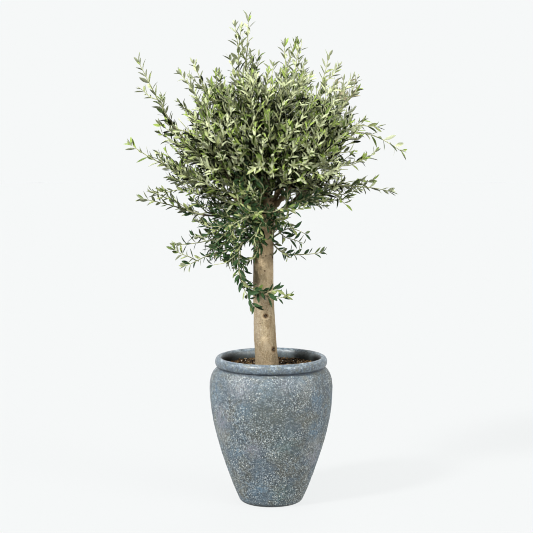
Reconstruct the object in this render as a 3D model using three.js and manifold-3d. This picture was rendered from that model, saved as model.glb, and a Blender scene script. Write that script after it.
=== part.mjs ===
// A standard olive tree in a rolled-rim stoneware pot: clear trunk, open head of boughs, loose leafy crown.
// Millimetres. +Z is up, +X is the viewer's right, +Y is away from the viewer.
// The origin is the centre of the pot's flat underside.
import * as THREE from "three";
import { mergeVertices } from "three/addons/utils/BufferGeometryUtils.js";
import Module from "manifold-3d";

const wasm = await Module();
wasm.setup();

// Gap left where two pieces meet.
const SEAT = 0.3;

// Pot: a jar with a narrow foot, a high shoulder and a rolled rim.
const POT = {
  footRadius: 83,
  heelEdge: [98, 5],
  heelRadius: 106,
  heelHeight: 17,
  flankPull: [44, 100],
  shoulderRadius: 200,
  shoulderHeight: 375,
  shoulderPull: [110, 35],
  neckRadius: 172,
  neckHeight: 446,
  neckPull: [18, 10],
  rimRadius: 170,
  rimHeight: 464,
  rimHalfWidth: 12,
  rimHalfHeight: 17,
  rimStart: -72,
  wall: 14,
  floor: 16,
  floorBevel: 30,
  facets: 32,
  steps: { flank: 5, shoulder: 3, rim: 5 },
};
const SOIL_LEVEL = 450;

// Trunk: stands on the soil, leans a little to the left and ends in the head that bears the boughs.
const TRUNK = {
  foot: [-13, 0],
  bow: [-34, 5],
  head: [-18, 0],
  top: 990,
  flareRadius: 39,
  flareHeight: 55,
  radius: 35.5,
  waistRadius: 32.5,
  waistAt: 0.8,
  headRadius: 35,
  headHeight: 90,
  dome: { height: 12, share: 0.62, rise: 2 },
  facets: 12,
  rings: 9,
};

// Boughs taper from their foot to their tip, and lift a little above the line they set out on.
const BOUGH = { sides: 6, rings: 3, tipRadius: 5, taperedBy: 0.87, lift: 0.12 };

// Twigs are three-sided. A shoot is the leafy axis that runs to one of the crown's furthest tips.
const TWIG = {
  sides: 3,
  shootRings: 4,
  sideRings: 2,
  pull: 0.42,
  stemRadius: 4.4,
  shootRadius: 3.2,
  sideRadius: 2,
  tipRadius: 1.4,
};
const FORK = { first: 0.16, step: 0.13 };
const SIDE = {
  every: 140,
  from: 0.16,
  to: 0.84,
  angle: 0.85,
  spin: 2.4,
  outward: 0.35,
  length: 150,
  shrink: 0.62,
  uneven: 0.2,
  lift: 0.3,
  bareUpTo: 0.3,
};

// Leaves stand for several real ones each, so they are larger than life.
const LEAF = {
  length: 92,
  width: 28,
  thickness: 2.4,
  widest: 0.42,
  uneven: 0.15,
  angle: 0.75,
  twist: 0.15,
  gap: 38,
  sink: 0.8,
  bareUpTo: 0.12,
  last: { share: 0.8, sink: 6, roll: 0.5 },
};

// Clear distance kept between leaves, twigs and limbs that are not joined, and to the edge of a mass's
// space, and the shortest edge that a join may leave.
const CLEAR = 0.8;
const EDGE = 1.5;
const SHORTEST_EDGE = 0.005;
const SEED = 1307;

// Straight stretches that each limb counts as where clear distances are measured, the radius that a leaf
// counts as, and the shares of a side twig's length at which it has to lie in its mass's space.
const STRETCHES = { trunk: 8, bough: 4, shoot: 8, side: 3 };
const LEAF_RADIUS = LEAF.width / 3;
const SPACE_TESTS = [0.4, 0.7, 1];

// One row a mass of foliage. Its bough sets out from the trunk at a height, or from another bough at a share
// of its length. Turn is counted from the viewer's right towards the back, and rise is above level, both in
// degrees. A row with stem: true has no bough, because its own stem sets out from the trunk. Tips are the
// ends of the shoots that make the crown's outline, the first being the end of the mass's stem.
const MASSES = [
  { name: "top", from: 985, turn: 165, rise: 80, length: 130, radius: 12,
    tips: [[-71, 15, 1590], [-115, -30, 1557], [-34, 40, 1450]] },
  { name: "right_up", from: 955, turn: 8, rise: 50, length: 130, radius: 12,
    tips: [[265, 15, 1388], [186, 45, 1463], [219, -45, 1412], [299, -35, 1366]] },
  { name: "left_up", from: 955, turn: 178, rise: 46, length: 130, radius: 12,
    tips: [[-436, -20, 1461], [-369, 50, 1240], [-305, 30, 1412]] },
  { name: "right", from: 938, turn: 340, rise: 42, length: 125, radius: 11,
    tips: [[436, -40, 1132], [303, 10, 1252], [325, -90, 1150]], reach: 320 },
  { name: "left", from: 940, turn: 190, rise: 24, length: 120, radius: 12,
    tips: [[-460, -30, 1178], [-330, -110, 1100], [-310, 60, 1085]] },
  { name: "front", from: 955, turn: 278, rise: 40, length: 115, radius: 12,
    tips: [[30, -335, 1215], [120, -290, 1120], [-70, -320, 1105]] },
  { name: "back", from: 955, turn: 98, rise: 38, length: 115, radius: 12,
    tips: [[-20, 350, 1220], [95, 320, 1130], [-110, 320, 1120]] },
  { name: "right_low", from: 918, turn: 12, rise: 30, length: 110, radius: 10,
    tips: [[388, 20, 1014], [300, 95, 1045], [240, -50, 975]] },
  { name: "left_low", from: 908, turn: 172, rise: 14, length: 100, radius: 10,
    tips: [[-422, 20, 994], [-280, 95, 935], [-250, -75, 1000]] },
  { name: "front_low", from: 915, turn: 262, rise: 12, length: 85, radius: 9,
    tips: [[-40, -270, 965], [-140, -240, 925], [70, -240, 985]] },
  { name: "back_low", from: 915, turn: 84, rise: 12, length: 85, radius: 9,
    tips: [[50, 280, 980], [-70, 270, 950], [140, 220, 1000]] },
  { name: "top_right", on: "right_up", at: 0.5, turn: 25, rise: 78, length: 100, radius: 9,
    tips: [[88, 0, 1501], [42, 45, 1500], [119, -70, 1410]] },
  { name: "top_left", on: "left_up", at: 0.5, turn: 160, rise: 72, length: 100, radius: 9,
    tips: [[-253, -30, 1437], [-171, 20, 1402], [-190, -100, 1370]] },
  { name: "front_up", on: "front", at: 0.5, turn: 268, rise: 76, length: 100, radius: 9,
    tips: [[-10, -170, 1420], [-100, -180, 1385], [90, -190, 1360]] },
  { name: "back_up", on: "back", at: 0.5, turn: 80, rise: 76, length: 100, radius: 9,
    tips: [[10, 180, 1430], [-100, 190, 1400], [110, 200, 1370]] },
  { name: "front_right", on: "right", at: 0.42, turn: 305, rise: 34, length: 100, radius: 8,
    tips: [[235, -240, 1215], [255, -180, 1100], [150, -280, 1080]] },
  { name: "back_right", on: "right", at: 0.6, turn: 48, rise: 40, length: 100, radius: 8,
    tips: [[240, 260, 1230], [300, 150, 1140], [180, 290, 1110]] },
  { name: "front_left", on: "left", at: 0.42, turn: 236, rise: 36, length: 100, radius: 8,
    tips: [[-240, -240, 1220], [-300, -170, 1270], [-190, -290, 1090]] },
  { name: "back_left", on: "left", at: 0.6, turn: 128, rise: 38, length: 100, radius: 8,
    tips: [[-260, 240, 1240], [-330, 130, 1150], [-200, 290, 1110]] },
  { name: "right_sprig", stem: true, from: 893, turn: 335, rise: 8,
    tips: [[165, -60, 828], [128, -95, 880]] },
  { name: "left_sprig", stem: true, from: 880, turn: 200, rise: -4,
    tips: [[-321, -40, 846], [-288, -70, 780]] },
  { name: "hanging_sprig", stem: true, from: 872, turn: 228, rise: -2,
    tips: [[-43, -105, 640], [57, -105, 695]], reach: 190 },
];

const COLOURS = {
  pot: { color: 0x6f7c86, roughness: 0.85, metalness: 0 },
  soil: { color: 0x3a2a20, roughness: 1, metalness: 0 },
  bark: { color: 0xa08c72, roughness: 0.9, metalness: 0 },
  foliage: { color: 0x6f8152, roughness: 0.6, metalness: 0 },
};

const UP = new THREE.Vector3(0, 0, 1);

// A repeatable row of numbers from 0 to 1.
function stream(seed) {
  let state = seed;
  return () => {
    state = (state * 16807) % 2147483647;
    return state / 2147483647;
  };
}

function heading(turn, rise) {
  const t = THREE.MathUtils.degToRad(turn);
  const r = THREE.MathUtils.degToRad(rise);
  return new THREE.Vector3(Math.cos(t) * Math.cos(r), Math.sin(t) * Math.cos(r), Math.sin(r));
}

// The two directions square to an axis: one level, the other as steep as it can be.
function acrossOf(axis) {
  const level = new THREE.Vector3().crossVectors(axis, UP).normalize();
  return [level, new THREE.Vector3().crossVectors(level, axis)];
}

function solidOf(geometry) {
  const bare = new THREE.BufferGeometry().setAttribute("position", geometry.getAttribute("position"));
  if (geometry.index) bare.setIndex(geometry.index);
  const merged = mergeVertices(bare, 1e-3);
  return new wasm.Manifold(new wasm.Mesh({
    numProp: 3,
    vertProperties: merged.attributes.position.array,
    triVerts: new Uint32Array(merged.index.array),
  }));
}

function geometryOf(solid) {
  const mesh = solid.getMesh();
  return new THREE.BufferGeometry()
    .setAttribute("position", new THREE.BufferAttribute(mesh.vertProperties, 3))
    .setIndex(new THREE.BufferAttribute(mesh.triVerts, 1));
}

// The largest of the separate bodies that a cut leaves.
function largestOf(solid) {
  return solid.decompose().reduce((a, b) => (a.volume() > b.volume() ? a : b));
}

// A closed tube of rings square to the curve, from one share of its length to another.
function taperedTube(curve, radiusAt, sides, rings, from = 0, to = 1) {
  const positions = [];
  const index = [];
  for (let i = 0; i <= rings; i++) {
    const t = from + ((to - from) * i) / rings;
    const centre = curve.getPoint(t);
    const [level, steep] = acrossOf(curve.getTangent(t));
    for (let k = 0; k < sides; k++) {
      const a = (2 * Math.PI * k) / sides;
      const p = centre.clone()
        .addScaledVector(level, Math.cos(a) * radiusAt(t))
        .addScaledVector(steep, Math.sin(a) * radiusAt(t));
      positions.push(p.x, p.y, p.z);
    }
  }
  for (let i = 0; i < rings; i++) {
    for (let k = 0; k < sides; k++) {
      const a = i * sides + k;
      const b = i * sides + ((k + 1) % sides);
      index.push(a, a + sides, b, b, a + sides, b + sides);
    }
  }
  const last = rings * sides;
  for (let k = 1; k < sides - 1; k++) {
    index.push(0, k, k + 1);
    index.push(last, last + k + 1, last + k);
  }
  return new THREE.BufferGeometry()
    .setAttribute("position", new THREE.Float32BufferAttribute(positions, 3))
    .setIndex(index);
}

// The wall's outline from the heel up to the neck, drawn in by an inset.
function potWall(inset) {
  const p = POT;
  const flank = new THREE.CubicBezierCurve(
    new THREE.Vector2(p.heelRadius - inset, p.heelHeight),
    new THREE.Vector2(p.heelRadius + p.flankPull[0] - inset, p.heelHeight + p.flankPull[1]),
    new THREE.Vector2(p.shoulderRadius - inset, p.shoulderHeight - p.shoulderPull[0]),
    new THREE.Vector2(p.shoulderRadius - inset, p.shoulderHeight),
  );
  const shoulder = new THREE.CubicBezierCurve(
    new THREE.Vector2(p.shoulderRadius - inset, p.shoulderHeight),
    new THREE.Vector2(p.shoulderRadius - inset, p.shoulderHeight + p.shoulderPull[1]),
    new THREE.Vector2(p.neckRadius + p.neckPull[0] - inset, p.neckHeight - p.neckPull[1]),
    new THREE.Vector2(p.neckRadius - inset, p.neckHeight),
  );
  return [...flank.getPoints(p.steps.flank), ...shoulder.getPoints(p.steps.shoulder).slice(1)];
}

function rimRoll() {
  const from = THREE.MathUtils.degToRad(POT.rimStart);
  const to = Math.PI;
  const steps = POT.steps.rim;
  return Array.from({ length: steps + 1 }, (_, i) => {
    const a = from + ((to - from) * i) / steps;
    return new THREE.Vector2(POT.rimRadius + POT.rimHalfWidth * Math.cos(a),
      POT.rimHeight + POT.rimHalfHeight * Math.sin(a));
  });
}

// The inside of the pot from the mouth down to its floor, drawn in by an inset.
function potInside(inset) {
  return potWall(POT.wall + inset)
    .reverse()
    .filter((p) => p.y > POT.floor + POT.floorBevel && p.y < SOIL_LEVEL)
    .concat(new THREE.Vector2(POT.heelRadius - POT.wall - inset, POT.floor + inset));
}

function turned(profile, facets) {
  return new THREE.LatheGeometry(profile, facets).rotateX(Math.PI / 2);
}

function potGeometry() {
  return turned([
    new THREE.Vector2(0, 0),
    new THREE.Vector2(POT.footRadius, 0),
    new THREE.Vector2(...POT.heelEdge),
    ...potWall(0),
    ...rimRoll(),
    ...potInside(0),
    new THREE.Vector2(0, POT.floor),
  ], POT.facets);
}

function soilGeometry() {
  const mouth = POT.rimRadius - POT.rimHalfWidth - SEAT;
  return turned([
    new THREE.Vector2(0, SOIL_LEVEL),
    new THREE.Vector2(mouth, SOIL_LEVEL),
    ...potInside(SEAT),
    new THREE.Vector2(0, POT.floor + SEAT),
  ].reverse(), POT.facets);
}

// Where the trunk's centre is at a height.
function trunkAxis(z) {
  const t = (z - SOIL_LEVEL) / (TRUNK.top - SOIL_LEVEL);
  const [foot, bow, head] = [(1 - t) * (1 - t), 2 * t * (1 - t), t * t];
  const [x, y] = [0, 1].map((k) => foot * TRUNK.foot[k] + bow * TRUNK.bow[k] + head * TRUNK.head[k]);
  return new THREE.Vector3(x, y, z);
}

function trunkRadius(z) {
  const flare = Math.exp(-(z - SOIL_LEVEL) / TRUNK.flareHeight);
  const climb = (z - SOIL_LEVEL) / (TRUNK.top - SOIL_LEVEL);
  const shaft = THREE.MathUtils.lerp(TRUNK.radius, TRUNK.waistRadius, Math.min(1, climb / TRUNK.waistAt));
  const swell = THREE.MathUtils.smoothstep(z, TRUNK.top - TRUNK.headHeight, TRUNK.top);
  return shaft + (TRUNK.flareRadius - TRUNK.radius) * flare + (TRUNK.headRadius - TRUNK.waistRadius) * swell;
}

// The trunk has level rings, so that its foot is a flat cut, and a low dome on its head.
function trunkGeometry(grow) {
  const foot = SOIL_LEVEL + SEAT - grow;
  const shoulder = TRUNK.top - TRUNK.dome.height;
  const profile = [new THREE.Vector2(0, foot)];
  for (let i = 0; i <= TRUNK.rings; i++) {
    const z = foot + ((shoulder - foot) * i) / TRUNK.rings;
    profile.push(new THREE.Vector2(trunkRadius(z) + grow, z));
  }
  profile.push(new THREE.Vector2(TRUNK.dome.share * TRUNK.headRadius + grow, TRUNK.top + grow));
  profile.push(new THREE.Vector2(0, TRUNK.top + TRUNK.dome.rise + grow));
  const geometry = turned(profile, TRUNK.facets);
  const position = geometry.getAttribute("position");
  for (let i = 0; i < position.count; i++) {
    const centre = trunkAxis(position.getZ(i));
    position.setXYZ(i, position.getX(i) + centre.x, position.getY(i) + centre.y, position.getZ(i));
  }
  return geometry;
}

// A bough's axis starts inside whatever bears it.
function boughAxis(mass, axes) {
  const bearer = axes.get(mass.on);
  const start = bearer ? bearer.getPoint(mass.at) : trunkAxis(mass.from);
  const way = heading(mass.turn, mass.rise);
  const end = start.clone().addScaledVector(way, mass.length).addScaledVector(UP, BOUGH.lift * mass.length);
  return new THREE.QuadraticBezierCurve3(start, start.clone().addScaledVector(way, mass.length / 2), end);
}

function boughRadius(mass, t) {
  return THREE.MathUtils.lerp(mass.radius, BOUGH.tipRadius, Math.min(1, t / BOUGH.taperedBy));
}

// A shoot leaves its start in one direction and bends smoothly to its tip, later if it has a longer reach.
function shootAxis(start, way, tip, reach = TWIG.pull * start.distanceTo(tip)) {
  return new THREE.QuadraticBezierCurve3(start, start.clone().addScaledVector(way, reach), tip);
}

// The stem of a mass, and the shoots that fork from it one after another.
function shootsOf(mass, start, way) {
  const [first, ...others] = mass.tips.map((p) => new THREE.Vector3(...p));
  const stem = { axis: shootAxis(start, way, first, mass.reach), foot: TWIG.stemRadius, bare: LEAF.bareUpTo };
  const forks = others.map((tip, i) => {
    const at = FORK.first + FORK.step * i;
    const fork = stem.axis.getPoint(at);
    const out = tip.clone().sub(fork).normalize().add(stem.axis.getTangent(at)).normalize();
    return { axis: shootAxis(fork, out, tip), foot: TWIG.shootRadius, bare: LEAF.bareUpTo };
  });
  return [stem, ...forks];
}

// Side twigs stand round a shoot in a spiral, shorter towards its tip, and lift towards the light.
function sideTwigsOf(shoot, random, heart) {
  const length = shoot.axis.getLength();
  const count = Math.max(1, Math.round(((SIDE.to - SIDE.from) * length) / SIDE.every));
  const phase = 2 * Math.PI * random();
  return Array.from({ length: count }, (_, i) => {
    const t = SIDE.from + ((SIDE.to - SIDE.from) * (i + random())) / count;
    const start = shoot.axis.getPoint(t);
    const along = shoot.axis.getTangent(t);
    const [level, steep] = acrossOf(along);
    const spin = phase + SIDE.spin * i;
    const out = start.clone().sub(heart).normalize();
    const way = along.clone().multiplyScalar(Math.cos(SIDE.angle))
      .addScaledVector(level, Math.sin(SIDE.angle) * Math.cos(spin))
      .addScaledVector(steep, Math.sin(SIDE.angle) * Math.sin(spin))
      .addScaledVector(out, SIDE.outward)
      .normalize();
    const reach = SIDE.length * (1 - SIDE.shrink * t) * (1 + SIDE.uneven * (2 * random() - 1));
    const tip = start.clone().addScaledVector(way, reach).addScaledVector(UP, SIDE.lift * reach);
    return {
      axis: new THREE.QuadraticBezierCurve3(start, start.clone().addScaledVector(way, 0.5 * reach), tip),
      foot: TWIG.sideRadius,
      bare: SIDE.bareUpTo,
    };
  });
}

// Distance between two straight stretches, each given by its two ends.
function gapBetween(a, b, c, d) {
  const u = b.clone().sub(a);
  const v = d.clone().sub(c);
  const w = a.clone().sub(c);
  const [uu, uv, vv, uw, vw] = [u.dot(u), u.dot(v), v.dot(v), u.dot(w), v.dot(w)];
  const flat = uu * vv - uv * uv;
  let s = flat > 1e-9 ? THREE.MathUtils.clamp((uv * vw - vv * uw) / flat, 0, 1) : 0;
  const t = THREE.MathUtils.clamp((uv * s + vw) / vv, 0, 1);
  s = THREE.MathUtils.clamp((uv * t - uw) / uu, 0, 1);
  return w.addScaledVector(u, s).addScaledVector(v, -t).length();
}

// Straight stretches along an axis, each with the thickest radius it has there.
function stretchesOf(axis, radiusAt, count, owner, to = 1) {
  return Array.from({ length: count }, (_, i) => ({
    a: axis.getPoint((to * i) / count),
    b: axis.getPoint((to * (i + 1)) / count),
    radius: radiusAt((to * i) / count),
    owner,
  }));
}

// True if a stretch keeps clear of all the others, apart from those of the twig that bears it.
function isClear(stretch, others, bearer) {
  return others.every((o) => o.owner === bearer
    || gapBetween(stretch.a, stretch.b, o.a, o.b) > stretch.radius + o.radius + CLEAR);
}

// A mass's space is every point that lies nearer to its own shoots than to another mass's.
function keepsToSpace(points, name, shootStretches) {
  return points.every((p) => {
    let own = Infinity;
    let other = Infinity;
    for (const s of shootStretches) {
      const gap = gapBetween(p, p.clone().addScaledVector(UP, 0.01), s.a, s.b);
      if (s.mass === name) own = Math.min(own, gap);
      else other = Math.min(other, gap);
    }
    return own + EDGE < other;
  });
}

// A leaf is a slim double pyramid, flat above and keeled below, from a foot sunk in its twig to its tip.
function leafOf(root, way, facing, size) {
  const across = new THREE.Vector3().crossVectors(way, facing).normalize();
  const face = new THREE.Vector3().crossVectors(across, way);
  const waist = root.clone().addScaledVector(way, LEAF.widest * size);
  const half = (LEAF.width * size) / LEAF.length / 2;
  return [
    root,
    waist.clone().addScaledVector(across, half),
    waist.clone().addScaledVector(across, -half),
    waist.clone().addScaledVector(face, -LEAF.thickness),
    root.clone().addScaledVector(way, size),
  ];
}

function leafGeometry(corners) {
  const index = [];
  const [foot, tip] = [0, 4];
  for (let k = 0; k < 3; k++) {
    const a = 1 + k;
    const b = 1 + ((k + 1) % 3);
    index.push(foot, a, b, tip, b, a);
  }
  return new THREE.BufferGeometry().setFromPoints(corners).setIndex(index);
}

function twigRadius(twig, t) {
  return THREE.MathUtils.lerp(twig.foot, TWIG.tipRadius, t);
}

// Leaves stand in pairs on two of a twig's three faces, moving on by a face each time. One more ends it.
function leavesOf(twig, random) {
  const length = twig.axis.getLength();
  const end = 1 - (LEAF.last.share * LEAF.length) / length;
  const pairs = Math.max(1, Math.floor(((end - twig.bare) * length) / LEAF.gap));
  const third = (2 * Math.PI) / TWIG.sides;
  const phase = Math.floor(TWIG.sides * random());
  const found = [];
  for (let i = 0; i < pairs; i++) {
    const t = twig.bare + ((end - twig.bare) * (i + 0.5)) / pairs;
    const along = twig.axis.getTangent(t);
    const [level, steep] = acrossOf(along);
    for (const side of [0, 1]) {
      const spin = third * (0.5 + phase + i + side) + LEAF.twist * (2 * random() - 1);
      const size = LEAF.length * (1 + LEAF.uneven * (2 * random() - 1));
      const way = along.clone().multiplyScalar(Math.cos(LEAF.angle))
        .addScaledVector(level, Math.sin(LEAF.angle) * Math.cos(spin))
        .addScaledVector(steep, Math.sin(LEAF.angle) * Math.sin(spin));
      const root = twig.axis.getPoint(t).addScaledVector(way, -LEAF.sink * twigRadius(twig, t));
      found.push(leafOf(root, way, along, size));
    }
  }
  const along = twig.axis.getTangent(end);
  const [level, steep] = acrossOf(along);
  const { roll } = LEAF.last;
  const facing = level.multiplyScalar(Math.sin(roll)).addScaledVector(steep, Math.cos(roll));
  const root = twig.axis.getPoint(end).addScaledVector(along, -LEAF.last.sink);
  found.push(leafOf(root, along, facing, twig.axis.getPoint(1).distanceTo(root)));
  return { leaves: found, end };
}

// Lays out every limb first, then every shoot, then what grows on the shoots.
function layOut() {
  const axes = new Map();
  const masses = MASSES.map((row) => {
    let start = trunkAxis(row.from ?? 0);
    let way = heading(row.turn, row.rise);
    if (!row.stem) {
      const axis = boughAxis(row, axes);
      axes.set(row.name, axis);
      way = axis.getTangent(1);
      start = axis.getPoint(1).addScaledVector(way, SEAT);
    }
    return { row, axis: axes.get(row.name), shoots: shootsOf(row, start, way) };
  });
  return { axes, masses };
}

function trunkStretches() {
  const levels = STRETCHES.trunk;
  return Array.from({ length: levels }, (_, i) => {
    const low = SOIL_LEVEL + ((TRUNK.top - SOIL_LEVEL) * i) / levels;
    const high = low + (TRUNK.top - SOIL_LEVEL) / levels;
    return { a: trunkAxis(low), b: trunkAxis(high), radius: trunkRadius(low), owner: "trunk" };
  });
}

function foliageOf(masses) {
  const limbs = trunkStretches();
  const shootStretches = [];
  for (const { row, axis, shoots } of masses) {
    if (axis) limbs.push(...stretchesOf(axis, (t) => boughRadius(row, t), STRETCHES.bough, row.name));
    for (const shoot of shoots) {
      shootStretches.push(...stretchesOf(shoot.axis, (t) => twigRadius(shoot, t), STRETCHES.shoot, shoot)
        .map((s) => ({ ...s, mass: row.name })));
    }
  }
  const heart = trunkAxis(TRUNK.top);
  const placed = [...limbs, ...shootStretches];
  const grown = masses.map(({ row, shoots }, m) => {
    const random = stream(SEED + 97 * m);
    const twigs = [...shoots];
    for (const shoot of shoots) {
      for (const twig of sideTwigsOf(shoot, random, heart)) {
        const stretches = stretchesOf(twig.axis, (t) => twigRadius(twig, t), STRETCHES.side, twig);
        const points = SPACE_TESTS.map((t) => twig.axis.getPoint(t));
        const free = stretches.slice(1).every((s) => isClear(s, placed, shoot));
        if (!free || !keepsToSpace(points, row.name, shootStretches)) continue;
        placed.push(...stretches);
        twigs.push(twig);
      }
    }
    return { row, twigs, random };
  });
  for (const mass of grown) {
    mass.leaves = [];
    for (const twig of mass.twigs) {
      const { leaves, end } = leavesOf(twig, mass.random);
      twig.end = end;
      for (const corners of leaves) {
        const waist = corners[1].clone().add(corners[2]).multiplyScalar(0.5);
        const stretch = { a: waist, b: corners.at(-1), radius: LEAF_RADIUS, owner: twig };
        if (!isClear(stretch, placed, twig)) continue;
        if (!keepsToSpace(corners.slice(1), mass.row.name, shootStretches)) continue;
        placed.push({ ...stretch, owner: "leaf" });
        mass.leaves.push(corners);
      }
    }
  }
  return grown;
}

function shortestEdge(solid) {
  const { vertProperties, triVerts } = solid.getMesh();
  const corner = (i) => new THREE.Vector3().fromArray(vertProperties, 3 * triVerts[i]);
  let shortest = Infinity;
  for (let i = 0; i < triVerts.length; i += 3) {
    const [a, b, c] = [corner(i), corner(i + 1), corner(i + 2)];
    shortest = Math.min(shortest, a.distanceTo(b), b.distanceTo(c), c.distanceTo(a));
  }
  return shortest;
}

// A mass's twigs and leaves joined into one body. What would leave a sliver where it joins is left out.
function massSolid(mass, cutter) {
  const shootCount = mass.row.tips.length;
  const [shoots, others] = [[], []];
  mass.twigs.forEach((twig, i) => {
    const isShoot = i < shootCount;
    const rings = isShoot ? TWIG.shootRings : TWIG.sideRings;
    const tube = taperedTube(twig.axis, (t) => twigRadius(twig, t), TWIG.sides, rings, 0, twig.end);
    (isShoot ? shoots : others).push(solidOf(tube));
  });
  others.push(...mass.leaves.map((corners) => solidOf(leafGeometry(corners))));
  const stems = wasm.Manifold.union(shoots);
  const start = mass.row.stem ? stems.subtract(cutter) : stems;
  const limit = Math.min(SHORTEST_EDGE, shortestEdge(start));
  const joined = others.reduce((solid, piece) => {
    const next = solid.add(piece);
    return shortestEdge(next) < limit ? solid : next;
  }, start);
  return largestOf(joined);
}

function boughSolids(masses, cutter) {
  const grownBoughs = new Map();
  return masses.filter(({ axis }) => axis).map(({ row, axis }) => {
    const limb = (grow) => {
      const radiusAt = (t) => boughRadius(row, t) + grow;
      return solidOf(taperedTube(axis, radiusAt, BOUGH.sides, BOUGH.rings));
    };
    grownBoughs.set(row.name, limb(SEAT));
    const bearer = row.on ? grownBoughs.get(row.on) : cutter;
    return { name: `bough_${row.name}`, solid: largestOf(limb(0).subtract(bearer).subtract(cutter)) };
  });
}

function meshOf(name, geometry, look) {
  const mesh = new THREE.Mesh(geometry, new THREE.MeshStandardMaterial(look));
  mesh.name = name;
  return mesh;
}

function buildTree() {
  const tree = new THREE.Group();
  const { masses } = layOut();
  const cutter = solidOf(trunkGeometry(SEAT));
  tree.add(meshOf("pot", potGeometry(), COLOURS.pot));
  tree.add(meshOf("soil", soilGeometry(), COLOURS.soil));
  tree.add(meshOf("trunk", trunkGeometry(0), COLOURS.bark));
  for (const { name, solid } of boughSolids(masses, cutter)) {
    tree.add(meshOf(name, geometryOf(solid), COLOURS.bark));
  }
  for (const mass of foliageOf(masses)) {
    tree.add(meshOf(`foliage_${mass.row.name}`, geometryOf(massSolid(mass, cutter)), COLOURS.foliage));
  }
  return tree;
}

export default buildTree();
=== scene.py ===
"""A standard olive tree in a rolled-rim stoneware jar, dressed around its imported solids.

Lengths are millimetres unless a name says otherwise, and meshes are written in metres. +Z is up, +X is the
viewer's right and +Y is away from the viewer. The first half grows the tree by the rule of its solids and
carries it on to finer twigs and real leaves. The second half makes each piece and its material."""

import functools
import itertools
import math

import bpy
import numpy as np
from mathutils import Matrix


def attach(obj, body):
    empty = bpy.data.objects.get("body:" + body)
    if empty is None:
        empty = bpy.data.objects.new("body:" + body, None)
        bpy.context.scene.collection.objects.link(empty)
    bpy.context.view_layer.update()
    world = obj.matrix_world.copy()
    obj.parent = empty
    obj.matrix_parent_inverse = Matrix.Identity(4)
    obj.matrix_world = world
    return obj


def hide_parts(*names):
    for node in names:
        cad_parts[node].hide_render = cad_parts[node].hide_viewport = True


MM = 0.001
UP = np.array([0.0, 0.0, 1.0])

# The camera stands where the photograph was taken from, and looks a little down.
PHOTO_SIDE = 533
FOCAL_PIXELS = 1871
SENSOR_WIDTH = 36
EYE = np.array([-15.0, -6000.0, 1500.0])
LOOK_DOWN = math.radians(6.9)

# The jar, as its solid. The points of its outline are (radius, height).
POT = dict(
    foot=(83, 0), foot_edge=(91, 1.2), heel_edge=(98, 5), heel_bend=(103, 10.5), heel=(106, 17),
    flank_pull=(44, 100), shoulder=(200, 375), shoulder_pulls=(110, 35), neck=(172, 446), neck_pull=(18, -10),
    rim=(170, 464), rim_half=(12, 17), rim_start=-72, wall=14, floor=16, floor_bevel=30,
)
MOUTH = POT["rim"][0] - POT["rim_half"][0]
SOIL_LEVEL = 450
MOUND_SPREAD = 60

# The trunk, the boughs and the twigs, as their solids.
TRUNK = dict(
    foot=(-13, 0), bow=(-34, 5), head=(-18, 0), top=990, flare_radius=39, flare_height=55,
    radius=35.5, waist_radius=32.5, waist_at=0.8, head_radius=35, head_height=90,
)
BOUGH = dict(tip_radius=5, tapered_by=0.87, lift=0.12)
TWIG = dict(pull=0.42, stem=4.4, shoot=3.2, side=2.0, fine=2.0, tip=1.0)
COLLAR = dict(swell=0.4, fade=12)
FORK = dict(first=0.16, step=0.13)
SIDE = dict(
    every=140, start=0.16, stop=0.84, angle=0.85, spin=2.4, outward=0.35,
    length=150, shrink=0.62, uneven=0.2, lift=0.3,
)
SEED = 1307
SIDES = dict(main=8, fine=6, jar=480, soil=220, trunk=72, bough=24, stub=16, dome=90)


def mass(start, turn, rise, tips, length=0, radius=0, bearer=None, reach=None, fork=None):
    """A mass of foliage. Its bough sets out from the trunk at a height, or from a bearer at a share of its
    length. Without a length it has no bough, and its own stem sets out from the trunk."""
    return dict(start=start, turn=turn, rise=rise, tips=tips, length=length, radius=radius,
                bearer=bearer, reach=reach, fork=fork or FORK["first"])


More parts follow.
